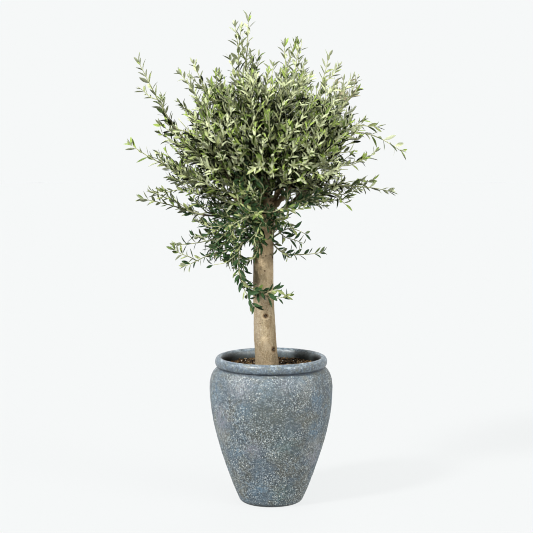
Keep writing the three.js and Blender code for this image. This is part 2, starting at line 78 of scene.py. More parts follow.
MASSES = {
    "top": mass(985, 165, 80, [(-71, 15, 1590), (-115, -30, 1557), (-34, 40, 1450)], 130, 12),
    "right_up": mass(955, 8, 50, [(265, 15, 1388), (186, 45, 1463), (219, -45, 1412), (299, -35, 1366)],
                     130, 12),
    "left_up": mass(955, 178, 46, [(-436, -20, 1461), (-369, 50, 1240), (-305, 30, 1412)], 130, 12),
    "right": mass(938, 340, 42, [(436, -40, 1132), (303, 10, 1252), (325, -90, 1150)], 125, 11, reach=320),
    "left": mass(940, 190, 24, [(-460, -30, 1178), (-330, -110, 1100), (-310, 60, 1085)], 120, 12),
    "front": mass(955, 278, 40, [(30, -335, 1215), (120, -290, 1120), (-70, -320, 1105)], 115, 12),
    "back": mass(955, 98, 38, [(-20, 350, 1220), (95, 320, 1130), (-110, 320, 1120)], 115, 12),
    "right_low": mass(918, 12, 30, [(388, 20, 1014), (300, 95, 1045), (240, -50, 975)], 110, 10),
    "left_low": mass(908, 172, 14, [(-422, 20, 994), (-280, 95, 935), (-250, -75, 1000)], 100, 10),
    "front_low": mass(915, 262, 12, [(-40, -270, 965), (-140, -240, 925), (70, -240, 985)], 85, 9),
    "back_low": mass(915, 84, 12, [(50, 280, 980), (-70, 270, 950), (140, 220, 1000)], 85, 9),
    "top_right": mass(0.5, 25, 78, [(88, 0, 1501), (42, 45, 1500), (119, -70, 1410)], 100, 9, "right_up"),
    "top_left": mass(0.5, 160, 72, [(-253, -30, 1437), (-171, 20, 1402), (-190, -100, 1370)],
                     100, 9, "left_up"),
    "front_up": mass(0.5, 268, 76, [(-10, -170, 1420), (-100, -180, 1385), (90, -190, 1360)],
                     100, 9, "front"),
    "back_up": mass(0.5, 80, 76, [(10, 180, 1430), (-100, 190, 1400), (110, 200, 1370)], 100, 9, "back"),
    "front_right": mass(0.42, 305, 34, [(235, -240, 1215), (255, -180, 1100), (150, -280, 1080)],
                        100, 8, "right"),
    "back_right": mass(0.6, 48, 40, [(240, 260, 1230), (300, 150, 1140), (180, 290, 1110)],
                       100, 8, "right"),
    "front_left": mass(0.42, 236, 36, [(-240, -240, 1220), (-300, -170, 1270), (-190, -290, 1090)],
                       100, 8, "left"),
    "back_left": mass(0.6, 128, 38, [(-260, 240, 1240), (-330, 130, 1150), (-200, 290, 1110)],
                      100, 8, "left"),
    "right_sprig": mass(893, 335, 8, [(165, -60, 828), (128, -95, 880)]),
    "left_sprig": mass(880, 200, -4, [(-321, -40, 846), (-288, -70, 780)]),
    "hanging_sprig": mass(872, 228, -2, [(-43, -105, 640), (57, -105, 695)], reach=190, fork=0.66),
}

SPRIGS = tuple(name for name in MASSES if name.endswith("sprig"))

# How far the photograph shows a shoot bowed from the line that the rule gives it, to the side and up, by
# the mass and the shoot's number.
BOWS = {
    "left_up": {0: (-38, -130), 2: (144, -40)}, "left": {0: (-20, -46)}, "top": {0: (-30, 0), 1: (-18, 0)},
    "top_right": {0: (10, 0), 1: (-16, 0)}, "top_left": {0: (-24, 0)}, "left_low": {0: (33, -75)},
    "right": {0: (-40, 28), 2: (0, -112)}, "right_sprig": {0: (-20, -125), 1: (-20, 90)},
    "left_sprig": {1: (0, -35)}, "hanging_sprig": {0: (-32, 10), 1: (0, -50)},
}

# How far short of its place in the solids a shoot ends, so that its last leaves end there or where the
# photograph shows a shorter one.
SHORT = {
    "top": {0: 17}, "left_up": {0: 24}, "right": {0: 24, 2: 34}, "right_up": {2: 40, 3: 34},
    "right_sprig": {1: 20}, "left_sprig": {0: 16, 1: 12}, "hanging_sprig": {0: 13},
}
USUAL_SHORT = dict(sprig=2, low=8, shoot=14, side=14)

# What the solids leave out: the space that the fine twigs fill, as eggs with a centre and half sizes, a
# little square and ragged.
CROWN = [
    ((-16, 0, 1180), (278, 264, 208)), ((-85, -10, 960), (165, 140, 106)), ((-240, 0, 1105), (92, 120, 90)),
    ((-262, 0, 1180), (66, 90, 60)), ((75, 0, 1330), (70, 80, 92)), ((-80, 0, 1325), (60, 70, 92)),
    ((190, 0, 1315), (66, 90, 60)), ((272, 0, 1360), (30, 50, 38)), ((-362, 0, 1308), (30, 40, 36)),
    ((-362, 10, 1010), (38, 40, 16)), ((150, 10, 992), (60, 60, 28)), ((235, 10, 1018), (60, 60, 24)),
    ((-112, -45, 868), (98, 88, 88)), ((-88, -60, 834), (40, 45, 50)), ((-98, -95, 766), (28, 34, 66)),
]
LOW_CROWN = CROWN[-3:]
SQUARENESS = 2.4
RAGGED = 0.4

# Long shoots stand round its outside and short ones fill it. Each kind: how many places are tried, the part
# of the eggs and the heights it ends in, how far it may leave a place empty, its shortest and longest, how
# far it points outward and along its bearer. The first kind ends where the photograph shows the tips of
# further shoots: pixel across, pixel down, and how far behind the trunk's middle.
LOOSE_TIPS = [
    (176, 96, 20), (361, 104, -20), (231, 60, -30), (259, 57, 40), (161, 134, 30), (171, 188, -10),
    (190, 246, -60), (194, 236, -40), (377, 127, 0), (373, 180, 30),
]
FINE = [
    dict(tips=LOOSE_TIPS, inner=1.0, vacant=0, shortest=70, longest=190, outward=0.3, along=0.2),
    dict(tries=5000, inner=1.0, outer=1.2, above=1180, vacant=58, shortest=130, longest=260, outward=0.85,
         along=0.4),
    dict(tries=9000, inner=0.9, outer=1.08, above=1010, vacant=38, shortest=105, longest=230, outward=0.8,
         along=0.3),
    dict(tries=12000, outer=0.97, vacant=30, shortest=80, longest=190, outward=0.7, along=0.4),
    dict(tries=20000, outer=0.93, vacant=26, shortest=50, longest=150, outward=0.45, along=0.2),
    dict(tries=2500, outer=1.0, below=900, vacant=23, shortest=28, longest=90, outward=0.1, along=0.0,
         eggs=LOW_CROWN),
]
FINE_BEND = dict(pull=0.45, ahead=1.4, lift=0.16, deepest=4, heart_drop=60, straying=90)

# The places along a bough, and round the trunk under its head, that fine twigs may set out from.
BOUGH_FEET = np.linspace(0.2, 0.95, 10)
TRUNK_FEET = dict(heights=range(855, 975, 15), swings=(-36, -12, 12, 36), rise=15, sunk=0.9)

# Where the photograph shows sky through the crown: pixel across, pixel down, radius in pixels.
SKY = [
    (278.5, 202, 8.5), (276, 194, 5), (247.5, 251, 7.5), (184.5, 199, 7), (198, 211, 5), (171.5, 153.5, 5),
    (178, 161, 4), (295, 195, 4.5), (318.5, 171, 4), (277, 233, 4.5), (198.5, 244.5, 4.5), (135, 80, 9),
    (170, 84, 11), (165, 70, 5), (178, 116, 6), (184, 125, 5), (191, 107, 5), (181, 95, 5), (160, 182, 5),
    (157, 145, 6), (350, 174, 9), (380, 182, 7), (344, 153, 4.5), (348, 144.5, 4), (323.5, 97.5, 4),
    (269, 86, 3.5), (273, 74, 4.2), (227, 82, 5), (212, 77, 4), (312, 67, 6), (330, 83, 4.2), (294, 219, 6),
    (302, 230, 6), (219, 266, 8), (233, 286, 7), (197, 228, 6), (203, 214, 4), (399, 134, 6), (309, 245, 6),
    (289, 246, 4.5), (351, 103, 5), (346, 73, 5), (361, 112, 5), (302, 45, 4), (320, 238, 6), (344, 205, 5),
    (316, 72, 4), (161, 174, 5), (187, 97, 5), (293, 264, 8), (308, 262, 6), (183, 128, 4), (194, 108, 4),
    (361, 150, 6), (206, 74, 4), (374, 104, 5), (189, 127, 5), (316, 82, 4), (315, 92, 4), (342, 170, 5),
    (209, 216, 5),
]

# Leaves stand in pairs, each pair turned a quarter from the one before, and draw together towards a tip.
# Their upper sides face along the twig or, as far as they are turned, out of the crown.
LEAF = dict(length=32, width=8.8, pitch=15.5, angle=42, tip_angle=24, tip_zone=40, tip_size=0.6, uneven=0.18,
            turned=0.6)
SHOOT_LEAF = dict(LEAF, length=36, width=11.8, pitch=21, angle=46, tip_angle=28, tip_size=0.78, turned=0.8)
SPRIG_LEAF = dict(LEAF, length=34, width=11.2, pitch=17, angle=56, tip_angle=40, tip_size=0.84, turned=0.8)
# How unlike one another leaves are: in their turn about the twig, by twig and by leaf, their angle in
# degrees, their lift, their facing, their spacing and their width.
VARIED = dict(
    by_twig=0.35, by_leaf=0.22, angle=7, lift=0.08, facing=0.32, spacing=(0.85, 1.15), width=(0.85, 1.12),
)

# By kind of twig: how much of its foot is bare, and how far it wavers.
BARE = dict(shoot=30, side=14, fine=10, sprig=14)
SWAY = dict(shoot=4, side=2, fine=1.5, sprig=4)


def unit(v):
    return v / np.linalg.norm(v, axis=-1, keepdims=True)


def lerp(a, b, t):
    return a + (b - a) * t


def smoothstep(low, high, x):
    t = np.clip((x - low) / (high - low), 0, 1)
    return t * t * (3 - 2 * t)


def stream(seed):
    """The solids' repeatable row of numbers from 0 to 1."""
    state = seed
    while True:
        state = state * 16807 % 2147483647
        yield state / 2147483647


def lumps(points, size, seed):
    """Smooth random lumps of about a size, from -1 to 1. The size may differ along x, y and z."""
    p = points / np.asarray(size, float)
    low = np.floor(p)
    f = p - low
    f = f * f * (3 - 2 * f)
    total = np.zeros(len(p))
    for corner in itertools.product((0, 1), repeat=3):
        cell = (low + corner).astype(np.int64)
        mixed = cell @ np.array([73856093, 19349663, 83492791]) + seed * 40503
        mixed = (mixed ^ (mixed >> 13)) * 1274126177 & 0x7FFFFFFF
        mixed = (mixed ^ (mixed >> 16)) * 668265263 & 0x7FFFFFFF
        total += np.prod(np.where(corner, f, 1 - f), axis=1) * (mixed / 0x3FFFFFFF - 1)
    return total


def seen_at(points):
    """The photograph's pixels that show these points, across and down."""
    away = points - EYE
    depth = away @ np.array([0, math.cos(LOOK_DOWN), -math.sin(LOOK_DOWN)])
    down = away @ np.array([0, -math.sin(LOOK_DOWN), -math.cos(LOOK_DOWN)])
    return PHOTO_SIDE / 2 + FOCAL_PIXELS * away[:, 0] / depth, PHOTO_SIDE / 2 + FOCAL_PIXELS * down / depth


def place_seen_at(across, down, y):
    """The point that the photograph shows at a pixel, at a distance behind the trunk's middle."""
    right, fall = (across - PHOTO_SIDE / 2) / FOCAL_PIXELS, (down - PHOTO_SIDE / 2) / FOCAL_PIXELS
    ray = np.array([right, math.cos(LOOK_DOWN) - fall * math.sin(LOOK_DOWN),
                    -math.sin(LOOK_DOWN) - fall * math.cos(LOOK_DOWN)])
    return EYE + ray * (y - EYE[1]) / ray[1]


def in_sky(points, grow=1.0):
    """True for points that lie in one of the gaps the photograph shows."""
    across, down = seen_at(points)
    return np.any([np.hypot(across - x, down - y) < r * grow for x, y, r in SKY], axis=0)


class Bend:
    """A smooth line from a start to an end that sets out towards its pull."""

    def __init__(self, start, pull, end):
        self.start, self.pull, self.end = (np.array(p, float) for p in (start, pull, end))

    def point(self, t):
        t = np.asarray(t, float)[..., None]
        return (1 - t) ** 2 * self.start + 2 * t * (1 - t) * self.pull + t * t * self.end

    def tangent(self, t):
        t = np.asarray(t, float)[..., None]
        return unit((1 - t) * (self.pull - self.start) + t * (self.end - self.pull))

    def length(self):
        points = self.point(np.linspace(0, 1, 201))
        return float(np.linalg.norm(np.diff(points, axis=0), axis=1).sum())


def heading(turn, rise):
    t, r = math.radians(turn), math.radians(rise)
    return np.array([math.cos(t) * math.cos(r), math.sin(t) * math.cos(r), math.sin(r)])


def across_of(axis):
    """The two directions square to an axis: one level, the other as steep as it can be."""
    level = unit(np.cross(axis, UP))
    return level, np.cross(level, axis)


def trunk_axis(z):
    z = np.asarray(z, float)
    t = (z - SOIL_LEVEL) / (TRUNK["top"] - SOIL_LEVEL)
    shares = ((1 - t) ** 2, 2 * t * (1 - t), t * t)
    x, y = (sum(s * TRUNK[k][i] for s, k in zip(shares, ("foot", "bow", "head"))) for i in (0, 1))
    return np.stack([x, y, z], axis=-1)


def trunk_radius(z):
    flare = np.exp(-(z - SOIL_LEVEL) / TRUNK["flare_height"])
    climb = (z - SOIL_LEVEL) / (TRUNK["top"] - SOIL_LEVEL)
    shaft = lerp(TRUNK["radius"], TRUNK["waist_radius"], np.minimum(1, climb / TRUNK["waist_at"]))
    swell = smoothstep(TRUNK["top"] - TRUNK["head_height"], TRUNK["top"], z)
    return (shaft + (TRUNK["flare_radius"] - TRUNK["radius"]) * flare
            + (TRUNK["head_radius"] - TRUNK["waist_radius"]) * swell)


HEART = trunk_axis(TRUNK["top"])


def bough_axes():
    """The axis of each bough, by its mass's name."""
    axes = {}
    for name, row in MASSES.items():
        if row["length"]:
            start = axes[row["bearer"]].point(row["start"]) if row["bearer"] else trunk_axis(row["start"])
            way = heading(row["turn"], row["rise"]) * row["length"]
            axes[name] = Bend(start, start + way / 2, start + way + UP * BOUGH["lift"] * row["length"])
    return axes


def bough_radius(radius, t):
    return lerp(radius, BOUGH["tip_radius"], np.minimum(1, t / BOUGH["tapered_by"]))


def bow_of(name, number):
    across, up = BOWS.get(name, {}).get(number, (0, 0))
    return np.array([across, 0.0, up])


def shoots_of(name, axes):
    """The stem of a mass and the shoots that fork from it, as curves."""
    row = MASSES[name]
    if name in axes:
        start, way = axes[name].point(1), axes[name].tangent(1)
    else:
        start, way = trunk_axis(row["start"]), heading(row["turn"], row["rise"])
    tips = [np.array(p, float) for p in row["tips"]]
    reach = row["reach"] or TWIG["pull"] * np.linalg.norm(tips[0] - start)
    stem = Bend(start, start + way * reach + bow_of(name, 0), tips[0])
    curves = [stem]
    for i, tip in enumerate(tips[1:]):
        at = row["fork"] + FORK["step"] * i
        fork = stem.point(at)
        out = unit(unit(tip - fork) + stem.tangent(at))
        pull = fork + out * TWIG["pull"] * np.linalg.norm(tip - fork)
        curves.append(Bend(fork, pull + bow_of(name, i + 1), tip))
    return curves


def side_curves(shoot, random):
    """Side twigs stand round a shoot in a spiral, shorter towards its tip, and lift towards the light."""
    count = max(1, int((SIDE["stop"] - SIDE["start"]) * shoot.length() / SIDE["every"] + 0.5))
    phase = 2 * math.pi * next(random)
    curves = []
    for i in range(count):
        t = SIDE["start"] + (SIDE["stop"] - SIDE["start"]) * (i + next(random)) / count
        start, along = shoot.point(t), shoot.tangent(t)
        level, steep = across_of(along)
        spin = phase + SIDE["spin"] * i
        way = unit(along * math.cos(SIDE["angle"])
                   + level * math.sin(SIDE["angle"]) * math.cos(spin)
                   + steep * math.sin(SIDE["angle"]) * math.sin(spin)
                   + unit(start - HEART) * SIDE["outward"])
        reach = SIDE["length"] * (1 - SIDE["shrink"] * t) * (1 + SIDE["uneven"] * (2 * next(random) - 1))
        curves.append(Bend(start, start + way * reach / 2, start + way * reach + UP * SIDE["lift"] * reach))
    return curves


class Twig:
    """A leafy axis as a fine, slightly wavy row of points, each with its direction and the length so far."""

    STEP = 9
    WAVES = 1.4

    def __init__(self, owner, curve, foot, order, kind, rng, short=0):
        self.owner, self.foot, self.order, self.bare = owner, foot, order, BARE[kind]
        count = max(6, int(curve.length() / self.STEP) + 2)
        t = np.linspace(0, 1 - short / curve.length(), count)
        self.points = curve.point(t)
        for way in across_of(curve.tangent(t)):
            phase = rng.uniform(0, 2 * math.pi)
            wave = np.sin(2 * math.pi * self.WAVES * t + phase)
            wave -= lerp(wave[0], wave[-1], t)
            self.points = self.points + way * (SWAY[kind] * wave)[:, None]
        steps = np.diff(self.points, axis=0)
        self.along = np.concatenate([[0], np.cumsum(np.linalg.norm(steps, axis=1))])
        self.ways = unit(np.gradient(self.points, axis=0))
        self.length = float(self.along[-1])

    def at(self, s):
        """Points and directions at lengths along the twig."""
        point, way = (np.stack([np.interp(s, self.along, rows[:, k]) for k in range(3)], axis=-1)
                      for rows in (self.points, self.ways))
        return point, unit(way)

    def radius(self, s):
        return lerp(self.foot, TWIG["tip"], np.asarray(s) / self.length)


def in_crown(points, grow):
    edge = 1 + RAGGED * lumps(points, 80, 31)
    return np.any([(np.abs((points - c) / r / grow) ** SQUARENESS).sum(1) < edge for c, r in CROWN], axis=0)


class Bearers:
    """The places that a fine twig can set out from: along twigs and boughs, and round the trunk's head."""

    def __init__(self, axes, twigs):
        self.place, self.way = np.empty((0, 3)), np.empty((0, 3))
        self.leafy, self.order, self.owner = np.empty(0, bool), np.empty(0, int), []
        for name, axis in axes.items():
            self.add(name, axis.point(BOUGH_FEET), axis.tangent(BOUGH_FEET))
        for name, row in MASSES.items():
            if name.endswith("_low"):
                for z, swing in itertools.product(TRUNK_FEET["heights"], TRUNK_FEET["swings"]):
                    out = heading(row["turn"] + swing, TRUNK_FEET["rise"])[None]
                    self.add(name, trunk_axis(z) + out * trunk_radius(z) * TRUNK_FEET["sunk"], out)
        for twig in twigs:
            self.add_twig(twig)

    def add(self, owner, place, way, leafy=False, order=0):
        self.place = np.concatenate([self.place, place])
        self.way = np.concatenate([self.way, way])
        self.leafy = np.append(self.leafy, np.broadcast_to(leafy, len(place)))
        self.order = np.append(self.order, np.full(len(place), order))
        self.owner += [owner] * len(place)

    def add_twig(self, twig):
        self.add(twig.owner, twig.points, twig.ways, twig.along > twig.bare, twig.order)


def spots_of(kind, rng):
    """Where the fine twigs of a kind may end."""
    if "tips" in kind:
        return [place_seen_at(*tip) for tip in kind["tips"]]
    eggs = kind.get("eggs", CROWN)
    low = np.min([np.subtract(c, r) for c, r in eggs], axis=0)
    high = np.max([np.add(c, r) for c, r in eggs], axis=0)
    middle = (low + high) / 2
    spots = middle + rng.uniform(low - middle, high - middle, (kind["tries"], 3)) * kind["outer"]
    inside = in_crown(spots, kind["outer"]) & ~in_sky(spots)
    inside &= (spots[:, 2] > kind.get("above", 0)) & (spots[:, 2] < kind.get("below", math.inf))
    if "inner" in kind:
        inside &= ~in_crown(spots, kind["inner"])
    return spots[inside]


def fill_crown(axes, twigs, rng):
    """Grows a fine twig into each vacant part of the crown, outward from a bearer that lies further in."""
    bend = FINE_BEND
    bearers = Bearers(axes, twigs)
    for kind in FINE:
        for spot in spots_of(kind, rng):
            rest = spot - bearers.place
            gap = np.linalg.norm(rest, axis=1)
            if gap[bearers.leafy].min() < kind["vacant"]:
                continue
            rest = rest / gap[:, None]
            aim = rest @ unit(spot - HEART + UP * bend["heart_drop"])
            good = (gap > kind["shortest"]) & (gap < kind["longest"]) & (aim > kind["outward"])
            good &= (rest * bearers.way).sum(1) > kind["along"]
            good &= bearers.order < bend["deepest"]
            if not good.any():
                continue
            wanted = kind["shortest"]
            if "inner" in kind:
                wanted = rng.uniform(kind["shortest"], kind["longest"])
            best = np.where(good, np.abs(gap - wanted) + bend["straying"] * (1 - aim), np.inf).argmin()
            pull = unit(bend["ahead"] * rest[best] + bearers.way[best] - UP * bend["lift"])
            start = bearers.place[best]
            curve = Bend(start, start + pull * bend["pull"] * gap[best], spot)
            if in_sky(curve.point(np.linspace(0.4, 1, 6)), 0.9).any():
                continue
            order = 0 if "tips" in kind else bearers.order[best] + 1
            twigs.append(Twig(bearers.owner[best], curve, TWIG["fine"], order, "fine", rng))
            bearers.add_twig(twigs[-1])


def grow():
    """Every leafy axis of the tree, in the order of the masses and then of the fine twigs."""
    axes = bough_axes()
    rng = np.random.default_rng(SEED)
    twigs = []
    for i, name in enumerate(MASSES):
        random = stream(SEED + 97 * i)
        kind = "sprig" if name in SPRIGS else "shoot"
        usual = USUAL_SHORT["low" if name.endswith("_low") else kind]
        for k, shoot in enumerate(shoots_of(name, axes)):
            foot = TWIG["stem" if k == 0 and kind == "shoot" else "shoot"]
            twigs.append(Twig(name, shoot, foot, 0, kind, rng, SHORT.get(name, {}).get(k, usual)))
            for curve in side_curves(shoot, random):
                if kind == "sprig" or in_sky(curve.point(np.linspace(0.3, 1, 8))).mean() <= 0.4:
                    twigs.append(Twig(name, curve, TWIG["side"], 1, "side", rng, USUAL_SHORT["side"]))
    fill_crown(axes, twigs, rng)
    return axes, twigs


# Tints of the leaves, as a screen shows them. The first ones run from the shade to the light.
TINTS = {
    "deep": (12, 18, 1), "dark": (46, 62, 17), "mid": (101, 120, 58), "light": (158, 168, 111),
    "pale": (189, 197, 155), "young": (151, 172, 86), "blue": (52, 77, 46), "tan": (158, 152, 122),
    "under": (174, 180, 148), "under_shade": (106, 120, 85), "under_deep": (40, 50, 20),
}
UNDER = {"deep": "under_deep", "dark": "under_shade", "blue": "under_shade"}
TINT_NUMBER = {name: i for i, name in enumerate(TINTS)}
UNDER_NUMBER = np.array([TINT_NUMBER[UNDER.get(name, "under")] for name in TINTS])

# The light a leaf is dealt: the least, the rise from the inside of the crown to its outside and to its top,
# how unlike twigs and leaves are, and the floor outside. The steps part one tint from the next.
LIGHT = dict(least=0.19, outside=0.72, high=0.12, by_twig=0.16, by_leaf=0.58, floor=0.47)
SHADE_STEPS = (0.29, 0.44, 0.61, 0.82)
# The shoots of one mass stand against the light, and those at one place in the photograph are tan.
DARK_ARM = dict(mass="right", darker=0.24, least=0.36)
TAN_SHOOT = dict(mass="right_up", pixel=(350, 88), radius=19)
SHARES = dict(blue=0.75, young=0.55, tan=0.7)


def leaves_on(twig, rng):
    """The leaves of one twig: roots, directions, upper sides, lengths, widths and tints."""
    kind = LEAF if twig.order or twig.owner.startswith("front") else SHOOT_LEAF
    if twig.owner in SPRIGS:
        kind = SPRIG_LEAF
    s, spots = twig.bare + rng.uniform(0, 8), []
    while s < twig.length - 3:
        spots.append(s)
        near_tip = 1 - min(1, (twig.length - s) / kind["tip_zone"])
        s += kind["pitch"] * lerp(1, 0.5, near_tip) * rng.uniform(*VARIED["spacing"])
    s = np.repeat(np.array(spots + [twig.length - 1.5]), 2)
    count = len(s)
    root, along = twig.at(s)
    level, steep = across_of(along)
    pair, other = np.divmod(np.arange(count), 2)
    spin = rng.normal(math.pi / 4, VARIED["by_twig"]) + math.pi / 2 * pair + math.pi * other
    spin = spin + rng.normal(0, VARIED["by_leaf"], count)
    near_tip = 1 - np.minimum(1, (twig.length - s) / kind["tip_zone"])
    angle = lerp(kind["angle"], kind["tip_angle"], near_tip) + rng.normal(0, VARIED["angle"], count)
    angle = np.radians(angle)
    side = level * np.cos(spin)[:, None] + steep * np.sin(spin)[:, None]
    way = along * np.cos(angle)[:, None] + side * np.sin(angle)[:, None]
    way = unit(way + UP * rng.normal(VARIED["lift"], VARIED["lift"], count)[:, None])
    out = unit(root - trunk_axis(np.minimum(root[:, 2], HEART[2] + 150)))
    face = along * (1 - kind["turned"]) - side * 0.2 + UP * 0.3 + out * kind["turned"]
    face = face + rng.normal(0, VARIED["facing"], (count, 3))
    face = unit(face - way * (face * way).sum(1)[:, None])
    size = lerp(1, kind["tip_size"], near_tip ** 1.3)
    size *= 1 + rng.normal(0, kind["uneven"], count).clip(-0.3, 0.3)
    size *= lerp(0.8, 1, np.minimum(1, s / 50))
    length, width = kind["length"] * size, kind["width"] * size * rng.uniform(*VARIED["width"], count)
    root = root + way * 0.4
    tip = root + way * length[:, None]
    clear = np.hypot(*(tip - trunk_axis(tip[:, 2]))[:, :2].T) > trunk_radius(tip[:, 2]) + 3
    clear |= tip[:, 2] > TRUNK["top"] + 5
    keep = clear & ~in_sky(root + way * length[:, None] / 2, 0.9)
    tint = tints_of(twig, root, near_tip, rng)
    return [a[keep] for a in (root, way, face, length, width, tint)]


def tints_of(twig, root, near_tip, rng):
    """Painted shade darkens the leaves deep inside and low, painted light makes them light outside and high,
    and many tips are young.
    """
    centre, half = (np.array(x) for x in CROWN[0])
    out = np.linalg.norm((root - centre) / (half * 1.15), axis=1)
    light = LIGHT["least"] + LIGHT["outside"] * smoothstep(0.5, 1.0, out)
    light += LIGHT["high"] * (root[:, 2] - centre[2]) / half[2]
    light += rng.normal(0, LIGHT["by_twig"]) + rng.normal(0, LIGHT["by_leaf"], len(root))
    light = np.maximum(light, LIGHT["floor"] * smoothstep(0.9, 1.1, out))
    if twig.owner == DARK_ARM["mass"] and not twig.order:
        light = np.maximum(light - DARK_ARM["darker"], DARK_ARM["least"])
    tint = np.searchsorted(SHADE_STEPS, light)
    if twig.owner in ("left_low", "front_low", "back_low", *SPRIGS):
        far = np.hypot(*(root - HEART)[:, :2].T)
        blue = rng.random(len(root)) < SHARES["blue"] * (1 - smoothstep(170, 300, far))
        tint = np.where(blue, TINT_NUMBER["blue"], np.minimum(tint, TINT_NUMBER["light"]))
    elif rng.random() < SHARES["young"]:
        tint = np.where(near_tip > rng.uniform(0.3, 0.7), TINT_NUMBER["young"], tint)
    across, down = seen_at(root)
    x, y = TAN_SHOOT["pixel"]
    tan = (np.hypot(across - x, down - y) < TAN_SHOOT["radius"]) & (twig.owner == TAN_SHOOT["mass"])
    return np.where(tan & (rng.random(len(root)) < SHARES["tan"]), TINT_NUMBER["tan"], tint)


def mesh_of(name, points, triangles, slots=None, materials=(), sharp=None):
    """An object of triangles. Points come in millimetres. An edge is sharp where both its ends are."""
    mesh = bpy.data.meshes.new(name)
    mesh.vertices.add(len(points))
    mesh.vertices.foreach_set("co", (points * MM).astype(np.float32).ravel())
    mesh.loops.add(3 * len(triangles))
    mesh.loops.foreach_set("vertex_index", triangles.astype(np.int32).ravel())
    mesh.polygons.add(len(triangles))
    mesh.polygons.foreach_set("loop_start", np.arange(0, 3 * len(triangles), 3, dtype=np.int32))
    for material in materials:
        mesh.materials.append(material)
    if slots is not None:
        mesh.polygons.foreach_set("material_index", slots.astype(np.int32))
    mesh.update(calc_edges=True)
    mesh.shade_smooth()
    if sharp is not None:
        ends = np.empty(2 * len(mesh.edges), np.int32)
        mesh.edges.foreach_get("vertices", ends)
        marks = sharp[ends].reshape(-1, 2).all(axis=1)
        mesh.edges.foreach_set("use_edge_sharp", marks)
    piece = bpy.data.objects.new(name, mesh)
    bpy.context.scene.collection.objects.link(piece)
    return piece


# A blade's stations from its foot to its tip: share of its length, and share of its half width there.
BLADE = [(0.09, 0.14), (0.27, 0.74), (0.5, 1.0), (0.73, 0.78), (0.9, 0.36)]
RIB = dict(over=0.1, under=0.7, least=0.25)
# How a blade is folded, bent back and twisted: the usual amount and its spread.
FORM = dict(fold=(0.32, 0.2), back=(0.10, 0.09), twist=(0, 0.25))


def blade_faces():
    """A blade's triangles as (upper ones, lower ones). Points: foot, four a station, tip."""
    left, rib, right, keel = range(4)
    last = len(BLADE) - 1
    tip = 4 * len(BLADE) + 1

    def at(station, k):
        return 1 + 4 * station + k

    def half(a, b):
        found = [(0, at(0, b), at(0, a)), (at(last, b), tip, at(last, a))]
        for i in range(last):
            found += [(at(i, b), at(i + 1, b), at(i + 1, a)), (at(i, b), at(i + 1, a), at(i, a))]
        return found

    return half(left, rib) + half(rib, right), half(keel, left) + half(right, keel)


def blades(root, way, face, length, width, rng):
    """The points of many leaves: a folded blade with a rib under it that bends back towards its tip."""
    count = len(root)
    across = np.cross(face, way)
    fold, back, twist = (rng.normal(*FORM[key], count) for key in ("fold", "back", "twist"))
    points = [root]
    for t, share in BLADE:
        middle = root + way * (length * t)[:, None] - face * (length * back * t * t)[:, None]
        turned = across * np.cos(twist * t)[:, None] + face * np.sin(twist * t)[:, None]
        normal = np.cross(way, turned)
        half = turned * (width / 2 * share * np.cos(fold))[:, None]
        rise = normal * (width / 2 * share * np.sin(fold))[:, None]
        points += [middle + half + rise, middle + normal * RIB["over"],
                   middle - half + rise, middle - normal * max(RIB["least"], RIB["under"] * share)]
    points.append(root + way * length[:, None] - face * (length * back)[:, None])
    return np.stack(points, axis=1)


def leaf_piece(name, rows, rng):
    root, way, face, length, width, tint = (np.concatenate(column) for column in zip(*rows))
    points = blades(root, way, face, length, width, rng)
    upper, lower = (np.array(f) for f in blade_faces())
    each = points.shape[1]
    offset = (np.arange(len(root)) * each)[:, None, None]
    triangles = np.concatenate([(upper + offset).reshape(-1, 3), (lower + offset).reshape(-1, 3)])
    slots = np.concatenate([np.repeat(tint, len(upper)), np.repeat(UNDER_NUMBER[tint], len(lower))])
    edge = np.ones(each, bool)
    edge[2:-1:4] = edge[4:-1:4] = False
    sharp = np.tile(edge, len(root))
    return mesh_of(name, points.reshape(-1, 3), triangles, slots, LEAF_PAINTS, sharp)


def tube_faces(count, sides):
    """The triangles of a closed tube: the points of its rings come first, then one for each end."""
    k = np.arange(sides)
    after = (k + 1) % sides
    faces = []
    for first in range(0, (count - 1) * sides, sides):
        a, b = first + k, first + after
        faces += [np.stack([a, b, b + sides], 1), np.stack([a, b + sides, a + sides], 1)]
    start, last = count * sides, (count - 1) * sides
    faces.append(np.stack([np.full(sides, start), after, k], 1))
    faces.append(np.stack([np.full(sides, start + 1), last + k, last + after], 1))
    return np.concatenate(faces)


def rings(points, radii, sides):
    """A closed tube through points: its points and its triangles."""
    ways = unit(np.gradient(points, axis=0))
    side, _ = across_of(ways[0])
    turn = 2 * math.pi * np.arange(sides)[:, None] / sides
    out = []
    for p, w, r in zip(points, ways, radii):
        side = unit(side - w * (side @ w))
        out.append(p + r * (np.cos(turn) * side + np.sin(turn) * np.cross(w, side)))
    return np.concatenate([*out, points[:1], points[-1:]]), tube_faces(len(points), sides)


def lathe(profile, sides):
    """A profile of (radius, height) turned about the axis, its ends on the axis: points and triangles."""
    turn = 2 * math.pi * np.arange(sides) / sides
    circle = np.stack([np.cos(turn), np.sin(turn), 0 * turn], 1)
    rows = [radius * circle + (0, 0, height) for radius, height in profile[1:-1]]
    ends = [(0, 0, profile[0][1]), (0, 0, profile[-1][1])]
    return np.concatenate([*rows, ends]), tube_faces(len(rows), sides)


def joined(parts):
    """Many pairs of points and triangles as one."""
    starts = np.cumsum([0] + [len(points) for points, _ in parts])
    faces = [triangles + start for (_, triangles), start in zip(parts, starts)]
    return np.concatenate([points for points, _ in parts]), np.concatenate(faces)


